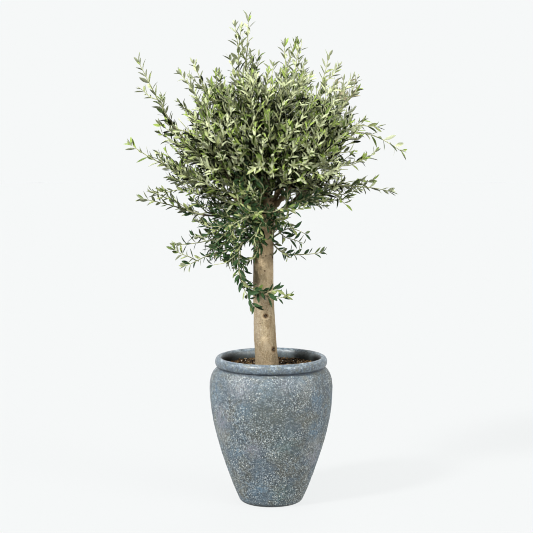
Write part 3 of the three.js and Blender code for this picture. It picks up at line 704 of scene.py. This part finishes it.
# A twig's wood by its age: the lengths from its tip at which one tint gives way to the next.
WOOD_TINTS = {
    "young": (184, 188, 142), "green": (146, 148, 112), "grey": (104, 94, 76), "brown": (80, 65, 48),
}
AGES = dict(shoot=(100, 210, 320), fine=(90, 180, 400), sprig=(60, 260))


def twig_piece(name, twigs):
    parts, slots = [], []
    for twig in twigs:
        main = twig.order == 0
        step, sides = (2, SIDES["main"]) if main else (1, SIDES["fine"])
        keep = np.unique(np.append(np.arange(0, len(twig.points), step), len(twig.points) - 1))
        parts.append(rings(twig.points[keep], twig.radius(twig.along[keep]), sides))
        ages = AGES["sprig" if twig.owner in SPRIGS else "shoot" if main else "fine"]
        age = np.searchsorted(ages, twig.length - twig.along[keep])
        slots += [np.repeat(age[:-1], 2 * sides), np.full(sides, age[0]), np.full(sides, age[-1])]
    return mesh_of(name, *joined(parts), np.concatenate(slots), WOOD_PAINTS)


def linear(rgb):
    """A screen colour from 0 to 255 as Blender's linear one."""
    c = np.array(rgb, float) / 255
    return (*np.where(c <= 0.04045, c / 12.92, ((c + 0.055) / 1.055) ** 2.4), 1.0)


class Paint:
    """A material whose colour is laid on in washes, with a short call for each kind of node that it needs.
    Sizes and spots are in millimetres, heights and radii in metres."""

    def __init__(self, name, roughness, shine):
        self.material = bpy.data.materials.new(name)
        self.material.use_nodes = True
        self.tree = self.material.node_tree
        self.shader = self.tree.nodes["Principled BSDF"]
        self.give(self.shader, {"Roughness": roughness, "Specular IOR Level": shine})
        self.place = None
        self.colour = None

    def give(self, node, inputs):
        """Links a node's inputs, or sets them. A colour comes as a screen shows it."""
        for key, value in inputs.items():
            if isinstance(value, bpy.types.NodeSocket):
                self.tree.links.new(value, node.inputs[key])
            else:
                colour = node.inputs[key].type == "RGBA"
                node.inputs[key].default_value = linear(value) if colour else value

    def node(self, kind, inputs, output, **settings):
        made = self.tree.nodes.new("ShaderNode" + kind)
        for key, value in settings.items():
            setattr(made, key, value)
        self.give(made, inputs)
        return made.outputs[output]

    def where(self):
        """The place on the piece in metres."""
        if self.place is None:
            self.place = self.node("TexCoord", {}, "Object")
        return self.place

    def vector(self, operation, a, b=(0, 0, 0), output="Vector"):
        return self.node("VectorMath", {0: a, 1: b}, output, operation=operation)

    def scaled(self, place, sizes):
        """A place, counted in steps of a size along each way."""
        return self.vector("MULTIPLY", place, [1 / (s * MM) for s in np.broadcast_to(sizes, 3)])

    def noise(self, sizes, detail, rough, warp=0.0):
        inputs = {"Scale": 1, "Detail": detail, "Roughness": rough, "Distortion": warp}
        return self.node("TexNoise", {"Vector": self.scaled(self.where(), sizes), **inputs}, "Fac")

    def cells(self, sizes, output="Distance"):
        return self.node("TexVoronoi", {"Vector": self.scaled(self.where(), sizes), "Scale": 1}, output)

    def maths(self, operation, a, b=0.0, c=0.0):
        return self.node("Math", {0: a, 1: b, 2: c}, 0, operation=operation)

    def product(self, *values):
        return functools.reduce(lambda a, b: self.maths("MULTIPLY", a, b), values)

    def band(self, value, low, high):
        """From 0 at low to 1 at high, smoothly."""
        inputs = {"Value": value, "From Min": low, "From Max": high}
        return self.node("MapRange", inputs, "Result", interpolation_type="SMOOTHSTEP")

    def mix(self, share, a, b):
        """The colour b over the colour a. A mix node's colours are its inputs 6 and 7 and its output 2."""
        return self.node("Mix", {0: share, 6: a, 7: b}, 2, data_type="RGBA")

    def lay(self, rgb, *shares):
        """Washes a colour over the ones so far, by the product of the shares."""
        self.colour = self.mix(self.product(*shares), self.colour, rgb)

    def height(self):
        return self.node("SeparateXYZ", {0: self.where()}, "Z")

    def radius(self):
        """How far a place is from the upright axis, in metres."""
        return self.vector("LENGTH", self.vector("MULTIPLY", self.where(), (1, 1, 0)), output="Value")

    def near(self, spot, sizes):
        """How near a place is to a spot: 1 there, 0 at the given sizes from it and beyond."""
        gap = self.vector("SUBTRACT", self.where(), [s * MM for s in spot])
        return self.band(self.vector("LENGTH", self.scaled(gap, sizes), output="Value"), 1.0, 0.0)

    def finish(self, height=None, depth=0.0, roughness=None):
        """The material, with its bumps from a height and their depth in millimetres."""
        self.give(self.shader, {"Base Color": self.colour})
        if roughness is not None:
            self.give(self.shader, {"Roughness": roughness})
        if height is not None:
            bump = self.node("Bump", {"Distance": depth * MM, "Height": height}, "Normal")
            self.give(self.shader, {"Normal": bump})
        return self.material


def plain_paint(name, rgb, roughness, shine):
    paint = Paint(name, roughness, shine)
    paint.colour = rgb
    return paint.finish()


def pot_wall(inset, flank_steps, shoulder_steps):
    """The wall's outline from the heel up to the neck, drawn in by an inset."""
    def bezier(a, b, c, d, steps):
        t = np.linspace(0, 1, steps + 1)[:, None]
        a, b, c, d = (np.array([x - inset, z], float) for x, z in (a, b, c, d))
        return (1 - t) ** 3 * a + 3 * t * (1 - t) ** 2 * b + 3 * t * t * (1 - t) * c + t ** 3 * d

    heel, shoulder, neck = (np.array(POT[key], float) for key in ("heel", "shoulder", "neck"))
    below, above = POT["shoulder_pulls"]
    flank = bezier(heel, heel + POT["flank_pull"], shoulder - (0, below), shoulder, flank_steps)
    collar = bezier(shoulder, shoulder + (0, above), neck + POT["neck_pull"], neck, shoulder_steps)
    return np.concatenate([flank, collar[1:]])


def vertex_normals(points, triangles):
    a, b, c = (points[triangles[:, k]] for k in range(3))
    face = np.cross(b - a, c - a)
    total = np.zeros_like(points)
    for k in range(3):
        np.add.at(total, triangles[:, k], face)
    return unit(total + 1e-12)


def pot_piece():
    """The jar, turned about its axis and a little rough."""
    turn = np.radians(np.linspace(POT["rim_start"], 180, 30))
    rim = np.stack([np.cos(turn), np.sin(turn)], 1) * POT["rim_half"] + POT["rim"]
    inner = pot_wall(POT["wall"], 10, 5)[::-1]
    inner = inner[(inner[:, 1] > POT["floor"] + POT["floor_bevel"]) & (inner[:, 1] < SOIL_LEVEL)]
    foot = [(0, 0), *(POT[key] for key in ("foot", "foot_edge", "heel_edge", "heel_bend"))]
    close = [(POT["heel"][0] - POT["wall"], POT["floor"]), (0, POT["floor"])]
    points, triangles = lathe(np.concatenate([foot, pot_wall(0, 96, 34), rim, inner, close]), SIDES["jar"])
    height = points[:, 2]
    body = smoothstep(10, 40, height) * (1 - smoothstep(425, 450, height))
    grain = 0.5 * lumps(points, 7, 1) + 0.32 * lumps(points, 4.2, 2) + 0.35 * lumps(points, 16, 3)
    relief = grain * lerp(0.35, 1.0, body) + 1.1 * lumps(points, (90, 90, 60), 4) * body
    relief *= smoothstep(0, 12, height)
    points = points + vertex_normals(points, triangles) * relief[:, None]
    return mesh_of("jar", points, triangles, materials=[pot_paint()])


# Patches of the glaze, as a screen shows them, with the turn and the height of their middles and their half
# size. The crackle is weaker on the smooth ones. The slate patch is painted shade over the front of the body.
GLAZE = {
    "blue": (98, 125, 144), "teal": (96, 118, 117), "lilac": (138, 139, 150), "olive": (101, 100, 86),
    "cream": (148, 152, 150), "slate": (84, 93, 95),
}
SMOOTH_GLAZE = ("blue", "lilac", "cream")
PATCHES = [
    ("slate", 270, 300, 110), ("cream", 204, 245, 62), ("cream", 322, 205, 60), ("lilac", 240, 402, 62),
    ("cream", 236, 415, 40), ("blue", 262, 392, 44), ("lilac", 283, 412, 40), ("cream", 303, 408, 46),
    ("blue", 318, 372, 44), ("blue", 204, 372, 60), ("blue", 246, 342, 40), ("olive", 272, 330, 60),
    ("olive", 262, 266, 50), ("olive", 306, 285, 44), ("lilac", 214, 300, 60), ("teal", 286, 215, 70),
    ("blue", 228, 196, 52), ("olive", 292, 160, 50), ("lilac", 250, 210, 44), ("blue", 252, 62, 50),
    ("teal", 290, 50, 60), ("blue", 318, 262, 50), ("lilac", 330, 170, 60), ("cream", 20, 405, 50),
    ("blue", 0, 330, 80), ("lilac", 40, 260, 70), ("teal", 80, 350, 80), ("olive", 110, 240, 70),
    ("cream", 125, 405, 60), ("blue", 150, 300, 80), ("lilac", 180, 390, 60), ("teal", 170, 150, 80),
]
PATCH_SPREAD = 1.15
# Painted shade over the front of the jar's body: the middle of the spot, and the sizes at which it fades out.
FRONT_SHADE = dict(spot=(0, -185, 345), sizes=(160, 160, 235))


def lay_glaze(paint):
    """The broad colours of the jar, slate and warm grey washed with the named patches. Gives back where the
    wash is smooth."""
    broad = paint.band(paint.noise(60, 4, 0.65, 0.8), 0.42, 0.58)
    paint.colour = paint.mix(broad, (82, 95, 105), (96, 98, 91))
    paint.lay((99, 118, 130), paint.band(paint.noise((30, 30, 44), 4, 0.7, 1.2), 0.52, 0.66))
    edge = paint.band(paint.noise(20, 4, 0.75, 0.8), 0.36, 0.62)
    wall = pot_wall(0, 60, 30)
    smooth = 0.0
    for kind, turn, height, size in PATCHES:
        t, r = math.radians(turn), np.interp(height, wall[:, 1], wall[:, 0])
        near = paint.near((r * math.cos(t), r * math.sin(t), height), size * PATCH_SPREAD)
        near = paint.product(near, edge)
        paint.lay(GLAZE[kind], near)
        if kind in SMOOTH_GLAZE:
            smooth = paint.maths("MAXIMUM", near, smooth)
    return smooth


def pot_paint():
    """Mottled glaze under a net of dark and pale crackle, mottled at the rim with pale streaks painted on its
    top as a highlight, and painted shade over the front, below the neck, in the groove under the rim, inside
    the mouth and at the foot."""
    paint = Paint("stoneware", 0.6, 0.5)
    smooth = lay_glaze(paint)
    height, radius = paint.height(), paint.radius()
    body = paint.band(height, 0.458, 0.425)
    cloud = paint.band(paint.noise((70, 70, 60), 3, 0.6), 0.38, 0.60)
    swings = ((body, 0.6, 0.4), (cloud, 0.55, 0.45), (smooth, -0.4, 1.0))
    rough = paint.product(*(paint.maths("MULTIPLY_ADD", *swing) for swing in swings))
    # Painted shade over the front's middle, laid once under the crackle and once over it.
    front_shade = paint.product(paint.near(**FRONT_SHADE), body)
    paint.lay((60, 73, 72), front_shade, 0.52)
    mottle = paint.noise((13, 13, 10), 4, 0.8)
    paint.lay((58, 68, 72), paint.band(mottle, 0.50, 0.36), 0.6)
    paint.lay((150, 162, 168), paint.band(mottle, 0.54, 0.70), 0.45)
    net = paint.noise(4.2, 3, 0.8, 0.6)
    paint.lay((40, 49, 52), paint.band(net, 0.47, 0.42), rough, 0.9)
    paint.lay((194, 206, 209), paint.band(net, 0.54, 0.59), rough, 0.82)
    some = paint.band(paint.node("SeparateXYZ", {0: paint.cells(4.6, "Color")}, "X"), 0.82, 0.88)
    speck = paint.product(some, paint.band(paint.cells(4.6), 0.48, 0.30))
    paint.lay((226, 230, 222), speck, rough, 0.9)
    # The painted shade over the front's middle again, over the crackle.
    paint.lay((62, 70, 68), front_shade, 0.22)
    # Painted shade: the body darker in a band below the neck.
    paint.lay((70, 82, 92), paint.band(height, 0.34, 0.40), body, 0.22)
    rim = paint.band(height, 0.444, 0.452)
    paint.lay((104, 120, 134), rim, 0.45)
    spots = paint.noise(8, 4, 0.8)
    paint.lay((160, 176, 184), paint.band(spots, 0.54, 0.62), rim, 0.75)
    paint.lay((56, 66, 72), paint.band(spots, 0.47, 0.40), rim, 0.75)
    paint.lay((96, 98, 82), paint.band(paint.noise(15, 4, 0.8), 0.51, 0.60), rim, 0.65)
    streaks = paint.noise((22, 22, 5), 4, 0.75, 0.6)
    paint.lay((74, 88, 106), rim, paint.band(streaks, 0.52, 0.40), 0.5)
    # Painted highlight: pale streaks along the rim's top.
    paint.lay((186, 198, 204), paint.band(height, 0.462, 0.476), paint.band(streaks, 0.53, 0.62), 0.5)
    # Painted shade: a dark line in the groove under the rim.
    paint.lay((46, 54, 66), paint.band(height, 0.443, 0.447), paint.band(height, 0.454, 0.449), 0.7)
    # Painted shade inside the mouth: the inner wall dark just above the soil, and the inner lip greyer.
    paint.lay((44, 44, 40), paint.band(radius, 0.160, 0.156), paint.band(height, 0.470, 0.454),
              paint.band(height, 0.40, 0.42), 0.85)
    paint.lay((92, 98, 94), paint.band(radius, 0.168, 0.161), paint.band(height, 0.478, 0.472),
              paint.band(height, 0.430, 0.445), 0.5)
    # Painted shade: the mouth's inner wall darkest at its left and right ends.
    for x in (-MOUTH, MOUTH):
        corner = paint.product(paint.near((x, 10, 454), (90, 130, 46)), paint.band(radius, 0.166, 0.161))
        paint.lay((20, 21, 19), paint.band(corner, 0.0, 0.6))
    # Painted shade: the jar darker along its foot, where it stands on the floor.
    paint.lay((52, 54, 52), paint.band(height, 0.016, 0.002), 0.7)
    tall = paint.product(paint.maths("ADD", net, paint.maths("MULTIPLY", speck, 0.4)), rough)
    return paint.finish(tall, 1.4, paint.maths("MULTIPLY_ADD", body, 0.25, 0.38))


def soil_piece():
    """The soil's lumpy top, a little mounded round the trunk, and a closed underside."""
    radii = np.concatenate([[0], np.linspace(3, MOUTH + 2, 56), [MOUTH - 4, 0]])
    heights = np.repeat((SOIL_LEVEL, SOIL_LEVEL - 20.0), (57, 2))
    points, triangles = lathe(np.stack([radii, heights], 1)[::-1], SIDES["soil"])
    rise = 1.6 * lumps(points, 9, 11) + 1.3 * lumps(points, 4.5, 12) + 2.2 * lumps(points, 30, 13)
    mound = 5 * np.exp(-(np.hypot(*(points - trunk_axis(SOIL_LEVEL))[:, :2].T) / MOUND_SPREAD) ** 2)
    points[:, 2] += np.where(points[:, 2] > SOIL_LEVEL - 5, rise + mound - 2, 0)
    paint = Paint("potting_soil", 0.95, 0.05)
    paint.colour = paint.mix(paint.band(paint.noise(5, 4, 0.7), 0.40, 0.62), (22, 17, 11), (66, 54, 40))
    material = paint.finish(paint.noise(2.5, 3, 0.7), 1.2)
    return mesh_of("potting_soil", points, triangles, materials=[material])


CHIP_TINTS = {"umber": (60, 48, 35), "chestnut": (102, 80, 54), "tan": (134, 114, 84), "black": (18, 14, 10)}
CHIP_SHARES = (0.38, 0.26, 0.12, 0.24)
CHIPS = dict(count=1600, least=(1.5, 1.0, 0.7), most=(4.6, 2.4, 1.6), ragged=0.22, tilt=0.3)
GRAINS = dict(count=30, least=0.9, most=2.0, ragged=0.14)


def chips_piece(rng):
    """Bark chips and crumbs that lie on the soil."""
    radius = (MOUTH - 6) * np.sqrt(rng.uniform(0, 1, CHIPS["count"]))
    turn = rng.uniform(0, 2 * math.pi, CHIPS["count"])
    corner = np.array(list(itertools.product((-1, 1), repeat=3)), float)
    quads = [(0, 1, 3, 2), (4, 6, 7, 5), (0, 4, 5, 1), (2, 3, 7, 6), (0, 2, 6, 4), (1, 5, 7, 3)]
    faces = np.array([t for a, b, c, d in quads for t in ((a, b, c), (a, c, d))])
    parts, slots = [], []
    for r, t in zip(radius, turn):
        centre = np.array([r * math.cos(t), r * math.sin(t), SOIL_LEVEL + 1.0])
        away = np.hypot(*(centre - trunk_axis(SOIL_LEVEL))[:2])
        if away < TRUNK["flare_radius"] + 3:
            continue
        centre[2] += 4 * math.exp(-(away / MOUND_SPREAD) ** 2)
        half = rng.uniform(CHIPS["least"], CHIPS["most"])
        shape = corner * half * (1 + rng.normal(0, CHIPS["ragged"], (8, 3)))
        yaw, pitch = rng.uniform(0, 2 * math.pi), rng.normal(0, CHIPS["tilt"])
        c, s, up, out = math.cos(yaw), math.sin(yaw), math.sin(pitch), math.cos(pitch)
        shape = shape @ np.array([[out, 0, -up], [0, 1, 0], [up, 0, out]])
        shape = shape @ np.array([[c, s, 0], [-s, c, 0], [0, 0, 1]])
        parts.append((shape + centre, faces))
        slots.append(np.full(len(faces), rng.choice(4, p=CHIP_SHARES)))
    paints = [plain_paint("chip_" + k, v, 0.9, 0.05) for k, v in CHIP_TINTS.items()]
    piece = mesh_of("bark_chips", *joined(parts), np.concatenate(slots), paints)
    piece.data.shade_flat()
    return piece


def grit_piece(rng):
    """White grains of perlite among the chips, each a ragged ball of 20 faces."""
    turn = rng.uniform(0, 2 * math.pi, GRAINS["count"])
    radius = (MOUTH - 6) * np.sqrt(rng.uniform(0.08, 1, GRAINS["count"]))
    g = (1 + 5 ** 0.5) / 2
    signs = list(itertools.product((-1, 1), repeat=2))
    ball = unit(np.array([np.roll((0, a, b * g), way) for way in (0, 2, 1) for a, b in signs], float))
    near = 2.1 / math.sqrt(1 + g * g)
    faces = [t for t in itertools.combinations(range(12), 3)
             if all(np.linalg.norm(ball[a] - ball[b]) < near for a, b in itertools.combinations(t, 2))]
    faces = np.array([t if np.linalg.det(ball[list(t)]) > 0 else t[::-1] for t in faces])
    parts = []
    for r, t in zip(radius, turn):
        centre = np.array([r * math.cos(t), r * math.sin(t), SOIL_LEVEL + 2.5])
        size = rng.uniform(GRAINS["least"], GRAINS["most"])
        parts.append((centre + ball * size * (1 + rng.normal(0, GRAINS["ragged"], (12, 1))), faces))
    return mesh_of("perlite", *joined(parts), materials=[plain_paint("perlite", (212, 206, 192), 0.9, 0.3)])


# Marks on the trunk: kind, height, turn about it, half width and half height. A kind has its swelling, and
# how much its ring is lit.
MARKS = [
    ("eye", 617, 278, 10.5, 9.5), ("knot", 507, 314, 11, 11), ("knot", 763, 278, 3.2, 3.2),
    ("knot", 523, 220, 3.2, 4), ("knot", 682, 288, 3, 3), ("knot", 812, 283, 4, 2.4),
    ("knot", 806, 334, 4, 7), ("scar", 541, 264, 9, 8), ("knot", 592, 246, 2.2, 2.6),
    ("knot", 655, 300, 2.4, 2.4),
    ("scar", 720, 250, 8, 12), ("eye", 700, 60, 8, 6), ("knot", 560, 130, 6, 6), ("eye", 790, 160, 7, 6),
    ("knot", 620, 20, 4, 5), ("scar", 640, 105, 9, 12),
]
SWELLING = {"eye": 0.6, "knot": 0.3, "scar": -0.25}
RING = {"eye": 0.75, "knot": 0.25, "scar": 0.6}
BARK_VOXEL = 2.2


def mark_places():
    for kind, z, turn, wide, tall in MARKS:
        yield kind, trunk_axis(z) + trunk_radius(z) * heading(turn, 0), np.array([wide, wide, tall])


def bark_piece(axes):
    """One skin over the trunk and the boughs, with collars where they meet."""
    z = np.arange(SOIL_LEVEL - 8, TRUNK["top"] - 8, 4.0)
    dome = np.array([(-4, 0.9), (0.5, 0.62), (2, 0.2)]) + (TRUNK["top"], 0)
    centres = trunk_axis(np.concatenate([z, dome[:, 0]]))
    radii = np.concatenate([trunk_radius(z), dome[:, 1] * TRUNK["head_radius"]])
    parts = [rings(centres, radii, SIDES["trunk"])]
    for name, axis in axes.items():
        t = np.linspace(0, 1, 34)
        buried = MASSES[name]["radius"] if MASSES[name]["bearer"] else TRUNK["head_radius"]
        past = np.maximum(0, t * axis.length() - buried)
        collar = 1 + COLLAR["swell"] * np.exp(-past / COLLAR["fade"])
        radii = bough_radius(MASSES[name]["radius"], t) * collar
        parts.append(rings(axis.point(t), radii, SIDES["bough"]))
    for name in SPRIGS:
        row = MASSES[name]
        s = np.linspace(0, TRUNK["head_radius"] + 10, 12)[:, None]
        stub = trunk_axis(row["start"]) + heading(row["turn"], row["rise"]) * s
        parts.append(rings(stub, np.linspace(9, TWIG["stem"], 12), SIDES["stub"]))
    piece = mesh_of("bark", *joined(parts))
    skin = piece.modifiers.new("skin", "REMESH")
    skin.mode, skin.voxel_size = "VOXEL", BARK_VOXEL * MM
    ease = piece.modifiers.new("ease", "SMOOTH")
    ease.factor, ease.iterations = 0.5, 7
    made = bpy.data.meshes.new_from_object(piece.evaluated_get(bpy.context.evaluated_depsgraph_get()))
    piece.modifiers.clear()
    piece.data = made
    roughen_bark(made)
    made.materials.append(bark_paint())
    made.shade_smooth()
    return piece


def roughen_bark(mesh):
    """Gives the skin its shallow furrows, swellings and knots."""
    points = np.empty(3 * len(mesh.vertices), np.float32)
    normals = np.empty_like(points)
    mesh.vertices.foreach_get("co", points)
    mesh.vertices.foreach_get("normal", normals)
    points, normals = points.reshape(-1, 3).astype(float) / MM, normals.reshape(-1, 3)
    off = np.hypot(*(points - trunk_axis(points[:, 2]))[:, :2].T)
    shaft = (1 - smoothstep(40, 50, off)) * (1 - smoothstep(930, 980, points[:, 2]))
    relief = 1.3 * lumps(points, (38, 38, 70), 21) * lerp(0.3, 1, shaft)
    relief += 0.55 * lumps(points, (8, 8, 60), 22) * shaft
    relief += 0.35 * lumps(points, (6, 6, 18), 23) + 0.3 * lumps(points, 5, 24)
    for kind, place, size in mark_places():
        d = np.linalg.norm((points - place) / size, axis=1)
        relief += SWELLING[kind] * (1.6 * np.exp(-((d - 1.25) / 0.4) ** 2) - 2.2 * np.exp(-(d / 0.7) ** 2))
    points = points + normals * relief[:, None]
    mesh.vertices.foreach_set("co", (points * MM).astype(np.float32).ravel())
    mesh.update()


def bark_paint():
    """Tan bark with streaks, worn patches, cracks and flecks, paler above with painted light and darker among
    the boughs with painted shade.
    """
    paint = Paint("bark", 0.85, 0.12)
    streaks = paint.band(paint.noise((12, 12, 60), 5, 0.65, 0.6), 0.38, 0.60)
    paint.colour = paint.mix(streaks, (137, 120, 91), (171, 155, 124))
    height, flecks = paint.height(), paint.noise(4.6, 3, 0.8, 0.6)
    paint.lay((178, 163, 136), paint.band(paint.noise((30, 30, 50), 4, 0.65, 0.8), 0.50, 0.60), 0.8)
    paint.lay((122, 111, 84), paint.band(paint.noise((16, 16, 70), 4, 0.65, 0.5), 0.55, 0.64), 0.7)
    paint.lay((160, 134, 92), paint.near((18, -26, 620), (26, 30, 170)), 0.3)
    paint.lay((166, 154, 138), paint.near((-46, -22, 580), (26, 30, 150)), 0.5)
    paint.lay((104, 82, 50), paint.band(paint.noise((3.4, 3.4, 26), 4, 0.75, 0.8), 0.60, 0.68), 0.65)
    paint.lay((108, 84, 54), paint.band(flecks, 0.57, 0.66), 0.6)
    paint.lay((218, 205, 180), paint.band(flecks, 0.44, 0.34), 0.6)
    paint.lay((128, 106, 72), paint.band(paint.noise((14, 14, 9), 4, 0.8, 0.8), 0.54, 0.66), 0.55)
    paint.lay((116, 101, 78), paint.band(height, 0.56, 0.46), 0.75)
    # Painted light: the upper shaft paler, where the crown shades it.
    paint.lay((206, 180, 140), paint.band(height, 0.66, 0.84), 0.55)
    # Painted shade: the bark darker at the trunk's head among the boughs.
    paint.lay((96, 78, 54), paint.band(height, 0.93, 1.0), 0.6)
    ragged = paint.maths("MULTIPLY_ADD", paint.noise(6, 3, 0.9, 1.0), 3.2, -1.6)
    for kind, place, size in mark_places():
        ring = paint.maths("ADD", paint.near(place, 2.4 * size), ragged)
        paint.lay((210, 190, 156), paint.band(ring, 0.1, 0.9), RING[kind])
        for wider, brown in ((1.5, (104, 78, 48)), (0.95, (20, 12, 6))) if kind != "scar" else ():
            core = paint.maths("MULTIPLY_ADD", ragged, 0.6, paint.near(place, wider * size))
            paint.lay(brown, paint.band(core, 0.16, 0.42), 0.92)
    tall = paint.maths("ADD", paint.noise((4, 4, 24), 4, 0.65), paint.noise(3.5, 2, 0.6))
    return paint.finish(tall, 1.0)


def make_camera():
    data = bpy.data.cameras.new("camera")
    data.sensor_width = SENSOR_WIDTH
    data.lens = FOCAL_PIXELS / PHOTO_SIDE * SENSOR_WIDTH
    data.clip_end = 200
    camera = bpy.data.objects.new("camera", data)
    camera.location = EYE * MM
    camera.rotation_euler = (math.pi / 2 - LOOK_DOWN, 0, 0)
    bpy.context.scene.collection.objects.link(camera)
    bpy.context.scene.camera = camera


# The studio: lamps by the side they stand on (turn from the camera's side, rise, spread in degrees), a dim
# surround and a white sweep that shines like the photograph's own: a floor and a dome that are seen but
# give no light.
SURROUND = 0.15
SWEEP = (246, 248, 248)
FLOOR_ALBEDO = 0.055
SWEEP_RADIUS = 14000
SHARPNESS = 1.0
LAMPS = {
    "key": (4.4, -46, 36, 9), "fill": (2.3, 52, 17, 30), "top": (1.5, -10, 76, 30),
    "back": (1.1, 175, 45, 40),
}


def light_on_floor():
    """The light that an open floor gets, as the brightness a white one would have."""
    direct = sum(power * math.sin(math.radians(rise)) for power, _, rise, _ in LAMPS.values())
    return SURROUND + direct / math.pi


def glowing(name, albedo, glow):
    paint = Paint(name, 1.0, 0.0)
    paint.shader.inputs["Base Color"].default_value = (albedo, albedo, albedo, 1)
    paint.shader.inputs["Emission Color"].default_value = (*glow, 1)
    paint.shader.inputs["Emission Strength"].default_value = 1.0
    return paint.material


def make_stage():
    world = bpy.data.worlds.new("surround")
    world.use_nodes = True
    world.node_tree.nodes["Background"].inputs["Color"].default_value = (SURROUND, SURROUND, SURROUND, 1)
    bpy.context.scene.world = world
    white = np.array(linear(SWEEP)[:3])
    a = np.radians(np.arange(0, 360, 3.0))
    ring = np.stack([np.cos(a), np.sin(a), 0 * a], 1) * SWEEP_RADIUS
    k = np.arange(len(a))
    fan = np.stack([np.full(len(a), len(a)), k, (k + 1) % len(a)], 1)
    floor = mesh_of("floor", np.concatenate([ring, np.zeros((1, 3))]), fan,
                    materials=[glowing("floor", FLOOR_ALBEDO, white - FLOOR_ALBEDO * light_on_floor())])
    arc = np.radians(np.linspace(90, 0, 31))
    profile = np.stack([np.cos(arc), np.sin(arc)], 1) * SWEEP_RADIUS
    points, triangles = lathe(np.concatenate([profile, [[0, 0]]]), SIDES["dome"])
    dome = mesh_of("dome", points, triangles[:-SIDES["dome"]], materials=[glowing("dome", 0.0, white)])
    floor.visible_diffuse = dome.visible_diffuse = dome.visible_shadow = False
    for name, (power, turn, rise, spread) in LAMPS.items():
        lamp = bpy.data.lights.new(name, "SUN")
        lamp.energy, lamp.angle = power, math.radians(spread)
        made = bpy.data.objects.new(name, lamp)
        made.rotation_euler = (math.radians(90 - rise), 0, math.radians(turn))
        bpy.context.scene.collection.objects.link(made)
    bpy.context.scene.view_settings.view_transform = "Standard"
    bpy.context.scene.cycles.filter_width = SHARPNESS


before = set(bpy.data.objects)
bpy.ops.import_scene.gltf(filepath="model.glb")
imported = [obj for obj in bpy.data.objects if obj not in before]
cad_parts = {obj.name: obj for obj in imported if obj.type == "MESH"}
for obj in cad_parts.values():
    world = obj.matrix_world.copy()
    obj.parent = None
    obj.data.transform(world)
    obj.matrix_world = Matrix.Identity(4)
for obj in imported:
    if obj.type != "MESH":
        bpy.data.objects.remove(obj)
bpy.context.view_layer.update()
make_camera()
make_stage()

LEAF_PAINTS = [plain_paint("leaf_" + k, v, 0.75 if k.startswith("under") else 0.5, 0.07)
               for k, v in TINTS.items()]
WOOD_PAINTS = [plain_paint("twig_" + k, v, 0.75, 0.1) for k, v in WOOD_TINTS.items()]

axes, twigs = grow()
leaf_rng = np.random.default_rng(SEED + 1)
for name in MASSES:
    own = [t for t in twigs if t.owner == name]
    rows = [leaves_on(t, leaf_rng) for t in own]
    for piece in (leaf_piece("leaves_" + name, rows, leaf_rng), twig_piece("twigs_" + name, own)):
        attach(piece, "root")
        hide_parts("foliage_" + name)

bark = bark_piece(axes)
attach(bark, "root")
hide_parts("trunk", *("bough_" + name for name in axes))

jar = pot_piece()
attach(jar, "root")
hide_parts("pot")

soil_rng = np.random.default_rng(SEED + 2)
for piece in (soil_piece(), chips_piece(soil_rng), grit_piece(soil_rng)):
    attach(piece, "root")
    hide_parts("soil")
